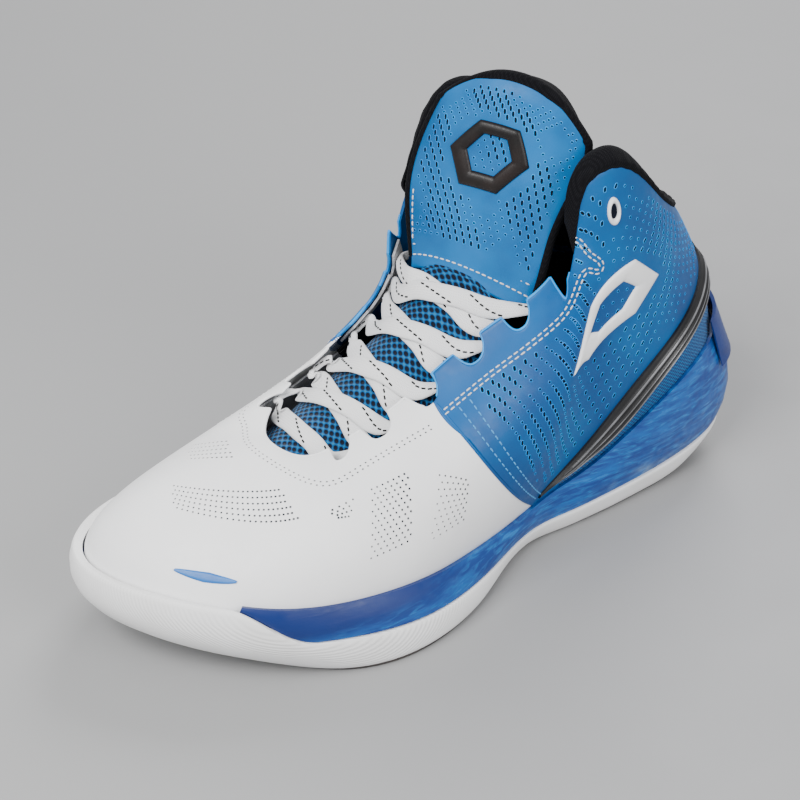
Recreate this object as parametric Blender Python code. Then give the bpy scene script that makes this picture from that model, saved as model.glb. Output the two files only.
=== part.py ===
"""A basketball high top for the left foot, built up the way the shoe is assembled.

Axes: toe towards -Y, heel towards +Y, the outer (lateral) side towards +X, ground at z = 0.
Every outline runs round the shoe by station number w: 0 at the middle of the heel, 1 to 10
along the lateral side, 11 at the tip of the toe and 12 to 21 back along the medial side.
The upper's surface is S(w, v), with v = 0 at the feather edge, where the upper is lasted to the
board, and v = 1 at the throat or the collar. Layers of the upper are offsets of that surface.
Tables and dimensions are in millimetres; MM turns them into metres.
"""
import bpy
import numpy as np

MM = 0.001
SHIFT = np.array([-5.37, -1.96, 0.0])   # puts the middle of the shoe's box on the origin

# ---------------------------------------------------------------- driving dimensions, mm
GAP = 0.3                # between pieces that touch
PANEL = 1.2              # synthetic leather panels
RIM = 2.6                # side wall of the cupped outsole
TREAD = 4.0              # outsole under the foot
BOARD = 1.5              # lasting board
SOCK = 4.0               # removable sockliner
SHANK = 1.4              # shank plate
CUP_GAP = 1.0            # between the midsole's cup and the upper
LINING_OUT = -3.4        # lining's outer face, measured from the upper's surface
LINING_IN = -4.2
STIFFENER_OUT = -1.8     # toe puff, heel counter and eyestays lie between panel and lining
STIFFENER_IN = -2.8
TONGUE_MESH = 4.0
TONGUE_SKIN = 1.2
TONGUE_FOAM = 6.5
LACE_WIDTH = 8.0
LACE_THICK = 1.2
LACE_GATHER = 0.68       # a lace pulled tight gathers to this share of its flat width
STATIONS = 22

# stations of the facets round the sole, closer together round the heel and the toe
HALF_COLUMNS = [0, 0.25, 0.5, 0.75, 1, 1.33, 1.67, 2, 2.5, 3, 3.5, 4, 4.5, 5, 5.5, 6, 6.5, 7,
                7.5, 8, 8.5, 9, 9.25, 9.4, 9.55, 9.68, 9.8, 10, 10.2, 10.4, 10.6, 10.8, 11]

# ---------------------------------------------------------------- the last
# feather edge, lower handle, upper handle, top line
LAST = [
    ((0, 138, 22), (0, 158, 58), (0, 141, 98), (0, 124, 128)),
    ((21, 132, 22), (26, 149, 58), (20, 133, 100), (18, 115, 134)),
    ((33, 113, 22), (41, 124, 60), (35, 110, 106), (30, 98, 151)),
    ((35, 88, 21), (47, 94, 60), (42, 88, 120), (36, 84, 168)),
    ((35, 62, 20), (48, 66, 58), (46, 70, 130), (37, 67, 179)),
    ((36, 40, 19), (50, 46, 56), (45, 62, 126), (36, 49, 165)),
    ((42, 15, 18), (56, 24, 50), (45, 53, 102), (33, 45, 130)),
    ((49, -14, 16), (63, -6, 48), (42, 22, 91), (22, 18, 106)),
    ((55, -46, 15), (69, -40, 48), (42, -14, 82), (18, -18, 85)),
    ((52, -82, 16), (68, -86, 48), (41, -50, 77), (17, -44, 76)),
    ((32, -117, 20), (48, -134, 48), (28, -74, 73), (12, -60, 71)),
    ((-10, -136, 24), (-12, -175, 52), (-7, -94, 75), (-4, -66, 70)),
    ((-36, -118, 20), (-47, -139, 48), (-30, -82, 69), (-17, -62, 70)),
    ((-46, -84, 16), (-54, -90, 46), (-39, -56, 71), (-25, -50, 76)),
    ((-48, -48, 15), (-56, -44, 46), (-43, -26, 76), (-28, -26, 87)),
    ((-44, -14, 16), (-52, -6, 52), (-45, 8, 90), (-32, 4, 106)),
    ((-37, 16, 18), (-46, 26, 56), (-45, 28, 106), (-36, 12, 130)),
    ((-34, 40, 19), (-44, 46, 58), (-47, 40, 128), (-42, 27, 162)),
    ((-34, 62, 20), (-43, 62, 60), (-47, 54, 134), (-43, 45, 184)),
    ((-34, 88, 21), (-42, 90, 60), (-43, 82, 122), (-41, 73, 174)),
    ((-32, 113, 22), (-38, 123, 60), (-36, 108, 106), (-33, 97, 151)),
    ((-20, 132, 22), (-24, 148, 58), (-21, 132, 100), (-18, 114, 134)),
]

# ground edge, handle of the side wall, height of the midsole's top edge, of the outsole's edge
SOLE = [
    ((0, 142, 5), (0, 166, 28), 66, 20),
    ((26, 128, 3), (33, 158, 28), 65, 19),
    ((33, 102, 0), (46, 114, 28), 61, 14),
    ((35, 76, 0), (45, 78, 20), 49, 12),
    ((35, 52, 0), (43, 52, 12), 33, 11),
    ((35, 33, 0), (43, 33, 10), 27, 11),
    ((44, 13, 0), (50, 14, 11), 25, 12),
    ((57, -9, 0), (63, -8, 12), 26, 14),
    ((66, -38, 0), (71, -40, 14), 30, 16),
    ((60, -72, 0), (68, -78, 16), 35, 20),
    ((28, -108, 4), (46, -127, 20), 41, 24),
    ((-12, -132, 9), (-12, -160, 24), 43, 26),
    ((-42, -110, 6), (-53, -128, 20), 41, 24),
    ((-52, -80, 1), (-60, -84, 16), 35, 20),
    ((-53, -50, 0), (-61, -50, 14), 30, 16),
    ((-46, -20, 0), (-54, -18, 12), 26, 14),
    ((-39, 6, 0), (-46, 8, 11), 25, 12),
    ((-35, 30, 0), (-42, 31, 10), 27, 11),
    ((-34, 54, 0), (-41, 54, 12), 33, 11),
    ((-34, 80, 0), (-43, 81, 20), 49, 12),
    ((-32, 104, 0), (-43, 112, 28), 61, 14),
    ((-22, 130, 3), (-27, 150, 32), 65, 19),
]
TOE_WRAP = (9.2, 9.9)    # stations where the outsole climbs to the upper, mirrored medially

# the tongue's medial edge, middle and lateral edge, from its base to its top
TONGUE = [
    ((-26, -77, 51), (-4, -80, 58), (17, -82, 51)),
    ((-28, -52, 59), (-4, -57, 66), (20, -52, 58)),
    ((-29, -28, 70), (-4, -29, 78), (22, -24, 69)),
    ((-26, 1, 88), (-4, -2, 97), (23, 10, 86)),
    ((-22, 13, 116), (-3, 20, 119), (25, 38, 109)),
    ((-29, 17, 148), (-1, 32, 150), (25, 50, 142)),
    ((-30, 28, 176), (1, 43, 180), (26, 64, 168)),
    ((-27, 38, 194), (3, 51, 200), (25, 63, 187)),
]
FOLD_T = 4.08            # where the padded top of the tongue folds forward

# throat notches: station, half width and depth, from the ankle down to the toe
NOTCHES = [(5.93, 0.16, 0.10), (6.62, 0.16, 0.10), (7.18, 0.16, 0.11), (7.78, 0.18, 0.13),
           (8.47, 0.24, 0.13), (9.18, 0.24, 0.13)]


# ---------------------------------------------------------------- curves and surfaces
def closed_spline(points):
    """A smooth closed curve through the points; its parameter is the point number."""
    points = np.asarray(points, float)
    count = len(points)
    matrix = 4 * np.eye(count) + np.roll(np.eye(count), 1, 1) + np.roll(np.eye(count), -1, 1)
    rate = 6 * (np.roll(points, -1, 0) - 2 * points + np.roll(points, 1, 0))
    bend = np.linalg.solve(matrix, rate)

    def curve(t):
        t = np.asarray(t, float) % count
        i = np.floor(t).astype(int) % count
        b = (t - np.floor(t))[..., None]
        j = (i + 1) % count
        a = 1 - b
        return a * points[i] + b * points[j] + ((a**3 - a) * bend[i] + (b**3 - b) * bend[j]) / 6
    return curve


def open_spline(points):
    """A smooth open curve through the points; its parameter is the point number."""
    points = np.asarray(points, float)
    count = len(points)
    matrix = np.eye(count)
    rate = np.zeros_like(points)
    for i in range(1, count - 1):
        matrix[i, i - 1:i + 2] = (1, 4, 1)
        rate[i] = 6 * (points[i + 1] - 2 * points[i] + points[i - 1])
    bend = np.linalg.solve(matrix, rate)

    def curve(t):
        t = np.clip(np.asarray(t, float), 0, count - 1)
        i = np.minimum(np.floor(t).astype(int), count - 2)
        b = (t - i)[..., None]
        a = 1 - b
        return a * points[i] + b * points[i + 1] + ((a**3 - a) * bend[i] + (b**3 - b) * bend[i + 1]) / 6
    return curve


def smooth_step(x, low, high):
    t = np.clip((np.asarray(x, float) - low) / (high - low), 0, 1)
    return t * t * (3 - 2 * t)


def unit(vectors):
    return vectors / np.linalg.norm(vectors, axis=-1, keepdims=True)


FEATHER, LOWER, UPPER, TOP = [closed_spline([row[i] for row in LAST]) for i in range(4)]
GROUND, FLARE = [closed_spline([row[i] for row in SOLE]) for i in range(2)]
MID_HEIGHT, OUT_HEIGHT = [closed_spline([[row[i]] for row in SOLE]) for i in (2, 3)]
TONGUE_MEDIAL, TONGUE_MIDDLE, TONGUE_LATERAL = [open_spline([row[i] for row in TONGUE]) for i in range(3)]


def surface(w, v):
    """A point of the upper's surface."""
    w, v = np.broadcast_arrays(np.asarray(w, float), np.asarray(v, float))
    v = v[..., None]
    return ((1 - v)**3 * FEATHER(w) + 3 * (1 - v)**2 * v * LOWER(w)
            + 3 * (1 - v) * v * v * UPPER(w) + v**3 * TOP(w))


def upper(w, v, offset=0.0):
    """A point of the upper, moved along the outward normal by offset."""
    step = 0.01
    w, v, offset = np.broadcast_arrays(np.asarray(w, float), np.asarray(v, float), offset)
    along = surface(w + step, v) - surface(w - step, v)
    rising = surface(w, v + step) - surface(w, v - step)
    return surface(w, v) + unit(np.cross(rising, along)) * offset[..., None]


def level(w, z):
    """The v at which the upper's surface reaches the height z."""
    w = np.asarray(w, float)
    low = np.zeros_like(w)
    high = np.full_like(w, 0.8)
    for _ in range(30):
        middle = (low + high) / 2
        below = surface(w, middle)[..., 2] < z
        low = np.where(below, middle, low)
        high = np.where(below, high, middle)
    return low


def toe_wrap(w):
    """0 along the sides, 1 where the outsole wraps the toe."""
    w = np.asarray(w, float) % STATIONS
    start, end = TOE_WRAP
    return smooth_step(w, start, end) * (1 - smooth_step(w, STATIONS - end, STATIONS - start))


def ground_edge(w):
    """The outline of the tread on the ground."""
    point = GROUND(w)
    point[..., 2] = np.maximum(point[..., 2], 0)
    return point


def rim_top_depth(w):
    """Thickness of the outsole's rim at its top: thinner where it starts to climb the toe."""
    w = np.minimum(w, STATIONS - w)
    return RIM - 1.2 * smooth_step(w, 9.3, 9.7) * (1 - smooth_step(w, 9.8, 10.0))


def mid_height(w):
    return MID_HEIGHT(w)[..., 0]


def out_height(w):
    blend = toe_wrap(w)
    return OUT_HEIGHT(w)[..., 0] * (1 - blend) + mid_height(w) * blend


def wall(w, u, inward=0.0):
    """The sole's side wall: u = 0 at the ground, 1 where it meets the upper."""
    def raw(w, u):
        u = u[..., None]
        crest = upper(w, level(w, mid_height(w)), 2.2 + 2.1 * toe_wrap(w))
        return (1 - u)**2 * ground_edge(w) + 2 * u * (1 - u) * FLARE(w) + u * u * crest
    step = 0.01
    w, u, inward = np.broadcast_arrays(np.asarray(w, float), np.asarray(u, float), inward)
    along = raw(w + step, u) - raw(w - step, u)
    rising = raw(w, u + step) - raw(w, u - step)
    return raw(w, u) - unit(np.cross(rising, along)) * inward[..., None]


def wall_at(w, z):
    """The u at which the side wall reaches the height z."""
    low = np.zeros_like(w)
    high = np.ones_like(w)
    for _ in range(25):
        middle = (low + high) / 2
        below = wall(w, middle)[..., 2] < z
        low = np.where(below, middle, low)
        high = np.where(below, high, middle)
    return low


def tongue(s, t, offset=0.0):
    """A point of the tongue: s from -1 (medial edge) to 1 (lateral edge), t from base to top."""
    def raw(s, t):
        s = s[..., None]
        return (TONGUE_MEDIAL(t) * s * (s - 1) / 2 + TONGUE_MIDDLE(t) * (1 - s * s)
                + TONGUE_LATERAL(t) * s * (s + 1) / 2)
    step = 0.02
    s, t, offset = np.broadcast_arrays(np.asarray(s, float), np.asarray(t, float), offset)
    high = np.minimum(t + step, len(TONGUE) - 1)
    low = np.maximum(high - 2 * step, 0)
    rising = raw(s, low + 2 * step) - raw(s, low)
    across = raw(s + step, t) - raw(s - step, t)
    return raw(s, t) + unit(np.cross(across, rising)) * offset[..., None]


# ---------------------------------------------------------------- outlines on the upper
def seam(v):
    """Station of the lateral seam between the vamp and the quarter."""
    return 5.1 + 2.68 * (1 - (1 - np.asarray(v, float))**2.2)


def collar_edge(w):
    """v where the panels stop under the collar's binding, which is wider on the front edges."""
    return 0.955 - 0.055 * smooth_step(np.abs(w), 4.5, 5.3)


def throat_edge(w):
    """v of the panels' upper edge: tabs and half-round notches, then the collar."""
    w = np.asarray(w, float)
    w = np.minimum(w, STATIONS - w)
    edge = collar_edge(w) + (0.96 - collar_edge(w)) * smooth_step(w, 5.52, 5.66)
    edge = edge + 0.04 * smooth_step(w, 5.9, 6.08)
    for station, half, depth in NOTCHES:
        x = np.clip(np.abs(w - station) / half, 0, 1)
        edge = edge - depth * (1 - x**2.5)**0.6
    return edge


FIN_LINE = open_spline([(0.0, 0.66), (1.05, 0.60), (2.0, 0.50), (2.95, 0.34), (3.8, 0.21), (4.5, 0.13)])


def fin_line(w):
    """v of the line under the fins where the quarter meets the heel panel."""
    w = np.abs(np.asarray(w, float))
    table = FIN_LINE(np.linspace(0, 5, 60))
    return np.interp(w, table[:, 0], table[:, 1]) * (1 - smooth_step(w, 4.5, 5.0))


# ---------------------------------------------------------------- mesh building
def volume(points, faces):
    total = 0.0
    for face in faces:
        for i in range(1, len(face) - 1):
            total += np.dot(points[face[0]], np.cross(points[face[i]], points[face[i + 1]]))
    return total


def material(name, colour, roughness, metallic=0.0):
    made = bpy.data.materials.new(name)
    made.use_nodes = True
    shader = made.node_tree.nodes["Principled BSDF"]
    shader.inputs["Base Color"].default_value = (*colour, 1)
    shader.inputs["Roughness"].default_value = roughness
    shader.inputs["Metallic"].default_value = metallic
    return made


def triangles(points, faces):
    """Splits every four-sided face along its shorter diagonal."""
    made = []
    for face in faces:
        if len(face) == 3:
            made.append(face)
            continue
        a, b, c, d = face
        if np.linalg.norm(points[a] - points[c]) <= np.linalg.norm(points[b] - points[d]):
            made += [(a, b, c), (a, c, d)]
        else:
            made += [(b, c, d), (b, d, a)]
    return made


def add_object(name, points, faces, look, origin=(0, 0, 0)):
    """One closed body, facing out, with its own origin (mm, in the shoe's axes)."""
    points = np.asarray(points, float) + SHIFT
    origin = np.asarray(origin, float) + (SHIFT if np.any(origin) else 0)
    faces = triangles(points, faces)
    if volume(points, faces) < 0:
        faces = [tuple(reversed(face)) for face in faces]
    mesh = bpy.data.meshes.new(name)
    mesh.from_pydata([tuple(p) for p in (points - origin) * MM], [], [tuple(map(int, f)) for f in faces])
    mesh.materials.append(material(name, *look))
    mesh.shade_smooth()
    mesh.set_sharp_from_angle(angle=0.7)
    made = bpy.data.objects.new(name, mesh)
    made.location = tuple(origin * MM)
    bpy.context.scene.collection.objects.link(made)
    return made


def sheet(outside, inside, ring=False):
    """A closed body between two grids of points; a ring closes round its first index."""
    rows, cols = outside.shape[:2]
    points = np.concatenate([outside.reshape(-1, 3), inside.reshape(-1, 3)])

    def a(i, j):
        return (i % rows) * cols + j

    def b(i, j):
        return rows * cols + a(i, j)
    faces = []
    last = rows if ring else rows - 1
    for i in range(last):
        for j in range(cols - 1):
            faces.append((a(i, j), a(i + 1, j), a(i + 1, j + 1), a(i, j + 1)))
            faces.append((b(i, j), b(i, j + 1), b(i + 1, j + 1), b(i + 1, j)))
        faces.append((a(i, 0), b(i, 0), b(i + 1, 0), a(i + 1, 0)))
        faces.append((a(i, cols - 1), a(i + 1, cols - 1), b(i + 1, cols - 1), b(i, cols - 1)))
    if not ring:
        for j in range(cols - 1):
            faces.append((a(0, j), a(0, j + 1), b(0, j + 1), b(0, j)))
            faces.append((a(rows - 1, j), b(rows - 1, j), b(rows - 1, j + 1), a(rows - 1, j + 1)))
    return points, faces


def stack(loops):
    """A closed body through loops of equal length; the end loops are closed across the shoe."""
    count = len(loops[0])
    points = np.concatenate(loops)
    faces = []
    for k in range(len(loops) - 1):
        for i in range(count):
            j = (i + 1) % count
            faces.append((k * count + i, k * count + j, (k + 1) * count + j, (k + 1) * count + i))
    half = count // 2
    for base, flip in ((0, False), ((len(loops) - 1) * count, True)):
        cap = [(base, base + count - 1, base + 1)]
        for i in range(1, half - 1):
            cap.append((base + i, base + count - i, base + count - i - 1, base + i + 1))
        cap.append((base + half - 1, base + half + 1, base + half))
        faces += [tuple(reversed(face)) for face in cap] if flip else cap
    return points, faces


def stretched(columns, pivot, old_end, new_end):
    """Moves stations beyond the pivot so that old_end lands on new_end."""
    columns = np.asarray(columns, float)
    beyond = (columns - pivot) * np.sign(old_end - pivot) > 0
    return np.where(beyond, pivot + (columns - pivot) * (new_end - pivot) / (old_end - pivot), columns)


def band(columns, low, high, rows):
    """A grid between two lines of v over the same stations; each line is a number or a function."""
    columns = np.asarray(columns, float)
    low, high = [line(columns) if callable(line) else np.full_like(columns, line) for line in (low, high)]
    rows = np.asarray(rows, float)[None, :]
    v = low[:, None] * (1 - rows) + high[:, None] * rows
    return columns[:, None] + 0 * v, v


def mirrored(half):
    """Stations on both sides of the toe, from those on the lateral side."""
    half = np.asarray(half, float)
    return np.concatenate([half, (STATIONS - half[:-1])[::-1]])


def round_heel(half):
    """Stations on both sides of the heel, from those on the lateral side."""
    half = np.asarray(half, float)
    return np.concatenate([-half[:0:-1], half])


# ---------------------------------------------------------------- sole
def inset(loop, distance):
    """Moves a closed loop inwards in plan."""
    ahead = np.roll(loop, -1, 0) - np.roll(loop, 1, 0)
    normal = unit(np.stack([ahead[:, 1], -ahead[:, 0], np.zeros(len(loop))], -1))
    centre = loop.mean(0)
    outward = np.sign(np.sum(normal * (loop - centre), -1).sum())
    return loop - normal * outward * distance


def build_sole():
    w = np.array(HALF_COLUMNS + [STATIONS - c for c in HALF_COLUMNS[-2:0:-1]])
    edge = wall_at(w, out_height(w))
    wrap = toe_wrap(w)
    ground = ground_edge(w)
    tread_top = ground[:, 2] + TREAD
    foot = wall_at(w, tread_top)

    def loop(u, inward, lift=0.0):
        made = wall(w, u, inward)
        made[:, 2] += lift
        return made
    plate = loop(foot, RIM)
    plate[:, 2] = tread_top
    fill = smooth_step(w, 10.0, 10.4) * (1 - smooth_step(w, 11.6, 12.0))
    outsole = [ground, loop(edge * 0.35, 0), loop(edge * 0.7, 0), loop(edge, 0),
               loop(edge, rim_top_depth(w) + 1.1 * fill),
               loop(edge * 0.72, RIM), loop(edge * 0.5, RIM), plate]
    add_object("outsole", *stack(outsole), ((0.86, 0.86, 0.86), 0.5))

    # the midsole sits in the cup, shows above its rim, and cups the foot in turn
    base = loop(foot, RIM + GAP)
    base[:, 2] = tread_top + GAP
    arch = smooth_step(base[:, 1], -32, -22) * (1 - smooth_step(base[:, 1], 62, 72))
    floor_lift = (SHANK + 2 * GAP) * arch
    base[:, 2] += floor_lift
    toe = wrap > 0.97
    hidden = RIM + GAP
    rim_inside = rim_top_depth(w) + GAP
    proud = 0.7 + (rim_inside - 0.7) * smooth_step(wrap, 0.2, 0.8)
    rim_top = np.minimum(edge + 0.012, 0.97)
    shown = np.minimum(edge + 0.02, 0.98)
    crest = np.where(toe, edge * 0.72, 1.0)
    crest_loop = loop(crest, np.where(toe, hidden, proud))
    rest_level = level(w, np.minimum(mid_height(w), crest_loop[:, 2]) - 0.3)
    low_loop = loop(edge * 0.5, hidden)
    midsole = [base, low_loop]
    for share, u, inward in ((0.2, 0.72 * edge, hidden), (0.4, rim_top, rim_inside + 1.1 * fill),
                             (0.6, shown, proud), (0.8, (shown + crest) / 2, proud)):
        hidden_line = low_loop + (crest_loop - low_loop) * share
        midsole.append(np.where(toe[:, None], hidden_line, loop(u, inward)))
    midsole.append(crest_loop)
    for share in (1.0, 0.78, 0.54, 0.28, 0.0):
        midsole.append(upper(w, rest_level * share, CUP_GAP))
    midsole[-1][:, 2] -= 0.6
    add_object("midsole", *stack(midsole), ((0.05, 0.25, 0.62), 0.45))

    # shank plate, in the hollow under the arch
    y = np.linspace(-19, 59, 12)
    x = np.linspace(-1, 1, 5)
    grid_y, grid_x = np.meshgrid(y, x, indexing="ij")
    width = 17 + 3 * smooth_step(grid_y, 10, -25)
    low_face = np.stack([grid_x * width + 2, grid_y, np.full_like(grid_y, TREAD + GAP)], -1)
    high_face = low_face + np.array([0, 0, SHANK])
    add_object("shank_plate", *sheet(high_face, low_face), ((0.03, 0.03, 0.03), 0.35))

    # lasting board, closing the upper from below
    feather = FEATHER(w)
    rim = inset(feather, -LINING_IN + 1.3)
    top = rim + np.array([0, 0, BOARD])
    add_object("strobel_board", *stack([rim, top]), ((0.75, 0.72, 0.66), 0.9))
    return rim


def build_sockliner(board_rim):
    low = inset(board_rim, 0.8) + np.array([0, 0, BOARD + GAP])
    high = inset(board_rim, 0.4) + np.array([0, 0, BOARD + GAP + SOCK])
    low_points, faces = stack([low, high])
    add_object("sockliner", low_points, faces, ((0.03, 0.09, 0.3), 0.9), SOCK_PIVOT)


# ---------------------------------------------------------------- upper
def layer(name, w, v, outside, inside, look):
    add_object(name, *sheet(upper(w, v, outside), upper(w, v, inside)), look)


WHITE = ((0.82, 0.82, 0.82), 0.45)
BLUE = ((0.03, 0.28, 0.62), 0.5)
CYAN = ((0.05, 0.42, 0.75), 0.55)
BLACK = ((0.015, 0.015, 0.018), 0.8)
TPU = ((0.02, 0.02, 0.022), 0.3)


SEAM_GAP = 0.02          # half the gap along a seam, in stations
SEAM_TOP = 7.78          # station where the lateral seam reaches the throat
QUARTER_TOP = [0.06, 0.5, 1, 1.5, 2, 2.5, 3, 3.4, 3.8, 4.2, 4.6, 5, 5.3, 5.5]
TOE_COLUMNS = [9.55, 9.8, 10, 10.2, 10.4, 10.6, 10.8, 11]
VAMP_ROWS = [0, 0.09, 0.18, 0.27, 0.37, 0.48, 0.62, 0.8, 0.91, 1]
QUARTER_ROWS = [0, 0.13, 0.26, 0.39, 0.52, 0.66, 0.8, 0.91, 1]


def notch_stations(notches):
    """Stations that follow each notch: its ends, its shoulders and its bottom."""
    made = []
    for station, half, _ in notches:
        made += [station - half, station - 0.7 * half, station, station + 0.7 * half, station + half]
    return made


def vamp_grid():
    """The vamp from seam to seam round the toe; its last row follows the notches."""
    head = [SEAM_TOP + SEAM_GAP, 7.88, 7.97] + notch_stations(NOTCHES[4:]) + TOE_COLUMNS
    w, v = band(mirrored(head), 0.0, 1.0, VAMP_ROWS)
    for j in range(w.shape[1]):
        edge = seam(v[0, j]) + SEAM_GAP
        w[:, j] = stretched(w[:, j], TOE_COLUMNS[0], head[0], edge)
        w[:, j] = stretched(w[:, j], STATIONS - TOE_COLUMNS[0], STATIONS - head[0], STATIONS - edge)
    v[:, -1] = throat_edge(w[:, -1])
    v[:, -2] = np.minimum(v[:, -2], v[:, -1] - 0.035)
    return w, v


def quarter_grid(side):
    """A quarter from the heel to its seam; its last row follows the notches and the collar."""
    end = SEAM_TOP - SEAM_GAP
    head = QUARTER_TOP + [5.66] + notch_stations(NOTCHES[:3]) + [7.58, 7.68, end]
    w, v = band(head, lambda w: fin_line(stretched(w, 3.4, end, seam(0) - SEAM_GAP)),
                lambda w: 0.955 + 0.045 * smooth_step(w, 4.6, 6.2), QUARTER_ROWS)
    for j in range(w.shape[1]):
        w[:, j] = stretched(w[:, j], 3.4, end, min(seam(v[-1, j]) - SEAM_GAP, end))
    v[:, -1] = throat_edge(w[:, -1])
    v[:, -2] = np.minimum(v[:, -2], v[:, -1] - 0.035)
    return (w if side > 0 else STATIONS - w), v


def lining_top(w):
    return 0.50 + 0.24 * smooth_step(np.abs(w), 5.2, 6.4)


def build_upper():
    # the lining and the toe puff lie on the panel's grid, so they follow it closely
    w, v = vamp_grid()
    layer("vamp_panel", w, v, 0, -PANEL, WHITE)
    layer("vamp_lining", w[:, :8], v[:, :8], LINING_OUT, LINING_IN, ((0.7, 0.7, 0.7), 0.9))
    toe = slice(14, -14)
    layer("toe_puff", w[toe, 1:6], v[toe, 1:6], STIFFENER_OUT, STIFFENER_IN, ((0.6, 0.58, 0.5), 0.8))

    for side, name in ((1, "lateral"), (-1, "medial")):
        w, v = quarter_grid(side)
        layer(name + "_quarter", w, v, 0, -PANEL, BLUE)
        row = [6.05] + notch_stations(NOTCHES[1:3]) + [7.58]
        w, v = band(row, 0.78, lambda w: throat_edge(w) - 0.02, (0, 0.5, 1))
        layer(name + "_eyestay", w if side > 0 else STATIONS - w, v, STIFFENER_OUT, STIFFENER_IN,
              ((0.7, 0.7, 0.7), 0.8))

    w, v = band(round_heel(HALF_COLUMNS[:12] + [4.4]), 0.0, lambda w: fin_line(w) - 0.012,
                (0, 0.13, 0.27, 0.45, 0.7, 1))
    layer("heel_panel", w, v, 0, -PANEL, CYAN)

    # one lining round the heel, from seam to seam, with the heel counter on the same grid
    w, v = band(round_heel(HALF_COLUMNS[:17]), 0.0, lining_top, np.linspace(0, 1, 8))
    for j in range(w.shape[1]):
        edge = seam(v[-1, j]) - SEAM_GAP
        w[:, j] = stretched(w[:, j], 3.5, w[-1, j], edge)
        w[:, j] = stretched(w[:, j], -3.5, w[0, j], -edge)
    layer("quarter_lining", w, v, LINING_OUT, LINING_IN, BLACK)
    heel = slice(6, -6)
    layer("heel_counter", w[heel, 1:7], v[heel, 1:7], STIFFENER_OUT, STIFFENER_IN, ((0.6, 0.58, 0.5), 0.6))


# the padded collar, seen in section: share of the binding's width, then v and depth inside
COLLAR_FRONT = [(0.85, 0.0, 1.0), (0.40, 0.3, 1.4)]
COLLAR_INSIDE = [(1.0, 2.0), (1.004, 4.6), (0.985, 7.2), (0.92, 8.6), (0.80, 8.6), (0.67, 7.2), (0.54, 4.9)]
COLLAR_SKIN = 0.9
COLLAR_CORE_V = [0.984, 0.984, 0.965, 0.91, 0.80, 0.675, 0.55]


def collar_depth(w, depth):
    """Depth inside the collar; the padding thins towards the front edges of the ankle wings."""
    least = 2.2
    thin = 1 - 0.75 * smooth_step(np.abs(w), 4.3, 5.2)
    return np.where(depth > least, least + (depth - least) * thin, depth)


def build_collar():
    columns = round_heel([0] + QUARTER_TOP[1:-1] + [5.42])
    outer = []
    inner = []
    for share, depth, core in COLLAR_FRONT:
        v = 1 - share * (1 - collar_edge(columns))
        outer.append(upper(columns, v, -depth))
        inner.append(upper(columns, v, -core))
    cores = [collar_depth(columns, depth) - COLLAR_SKIN for _, depth in COLLAR_INSIDE]
    cores[0] = np.full_like(columns, COLLAR_INSIDE[0][1] + 0.3)
    cores[1] = (cores[0] + cores[2]) / 2
    for (v, depth), core_v, core in zip(COLLAR_INSIDE, COLLAR_CORE_V, cores):
        outer.append(upper(columns, v, -collar_depth(columns, depth)))
        inner.append(upper(columns, core_v, -core))
    add_object("collar_lining", *sheet(np.stack(outer, 1), np.stack(inner, 1)), BLACK)

    inside = np.array(COLLAR_INSIDE[:1:-1])
    padded = columns[np.abs(columns) < 4.7]
    w, r = np.meshgrid(padded, np.linspace(0, 1, 5), indexing="ij")
    v = 0.66 + (1 - 1.3 * (1 - collar_edge(w)) - 0.66) * r
    depth = collar_depth(w, np.interp(v, inside[:, 0], inside[:, 1]))
    foam = sheet(upper(w, v, -PANEL - 0.4), upper(w, v, -depth + COLLAR_SKIN + 0.5))
    add_object("collar_foam", *foam, ((0.8, 0.78, 0.6), 0.95))


# ---------------------------------------------------------------- trim
FIN_FRONT = open_spline([(0.32, 0.745), (1.0, 0.68), (1.83, 0.57), (2.83, 0.43), (3.65, 0.31),
                         (4.45, 0.19), (5.40, 0.105)])
FIN_REAR = open_spline([(0.32, 0.62), (1.2, 0.545), (1.98, 0.45), (2.95, 0.30), (3.75, 0.165),
                        (4.55, 0.12), (5.40, 0.09)])


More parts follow.
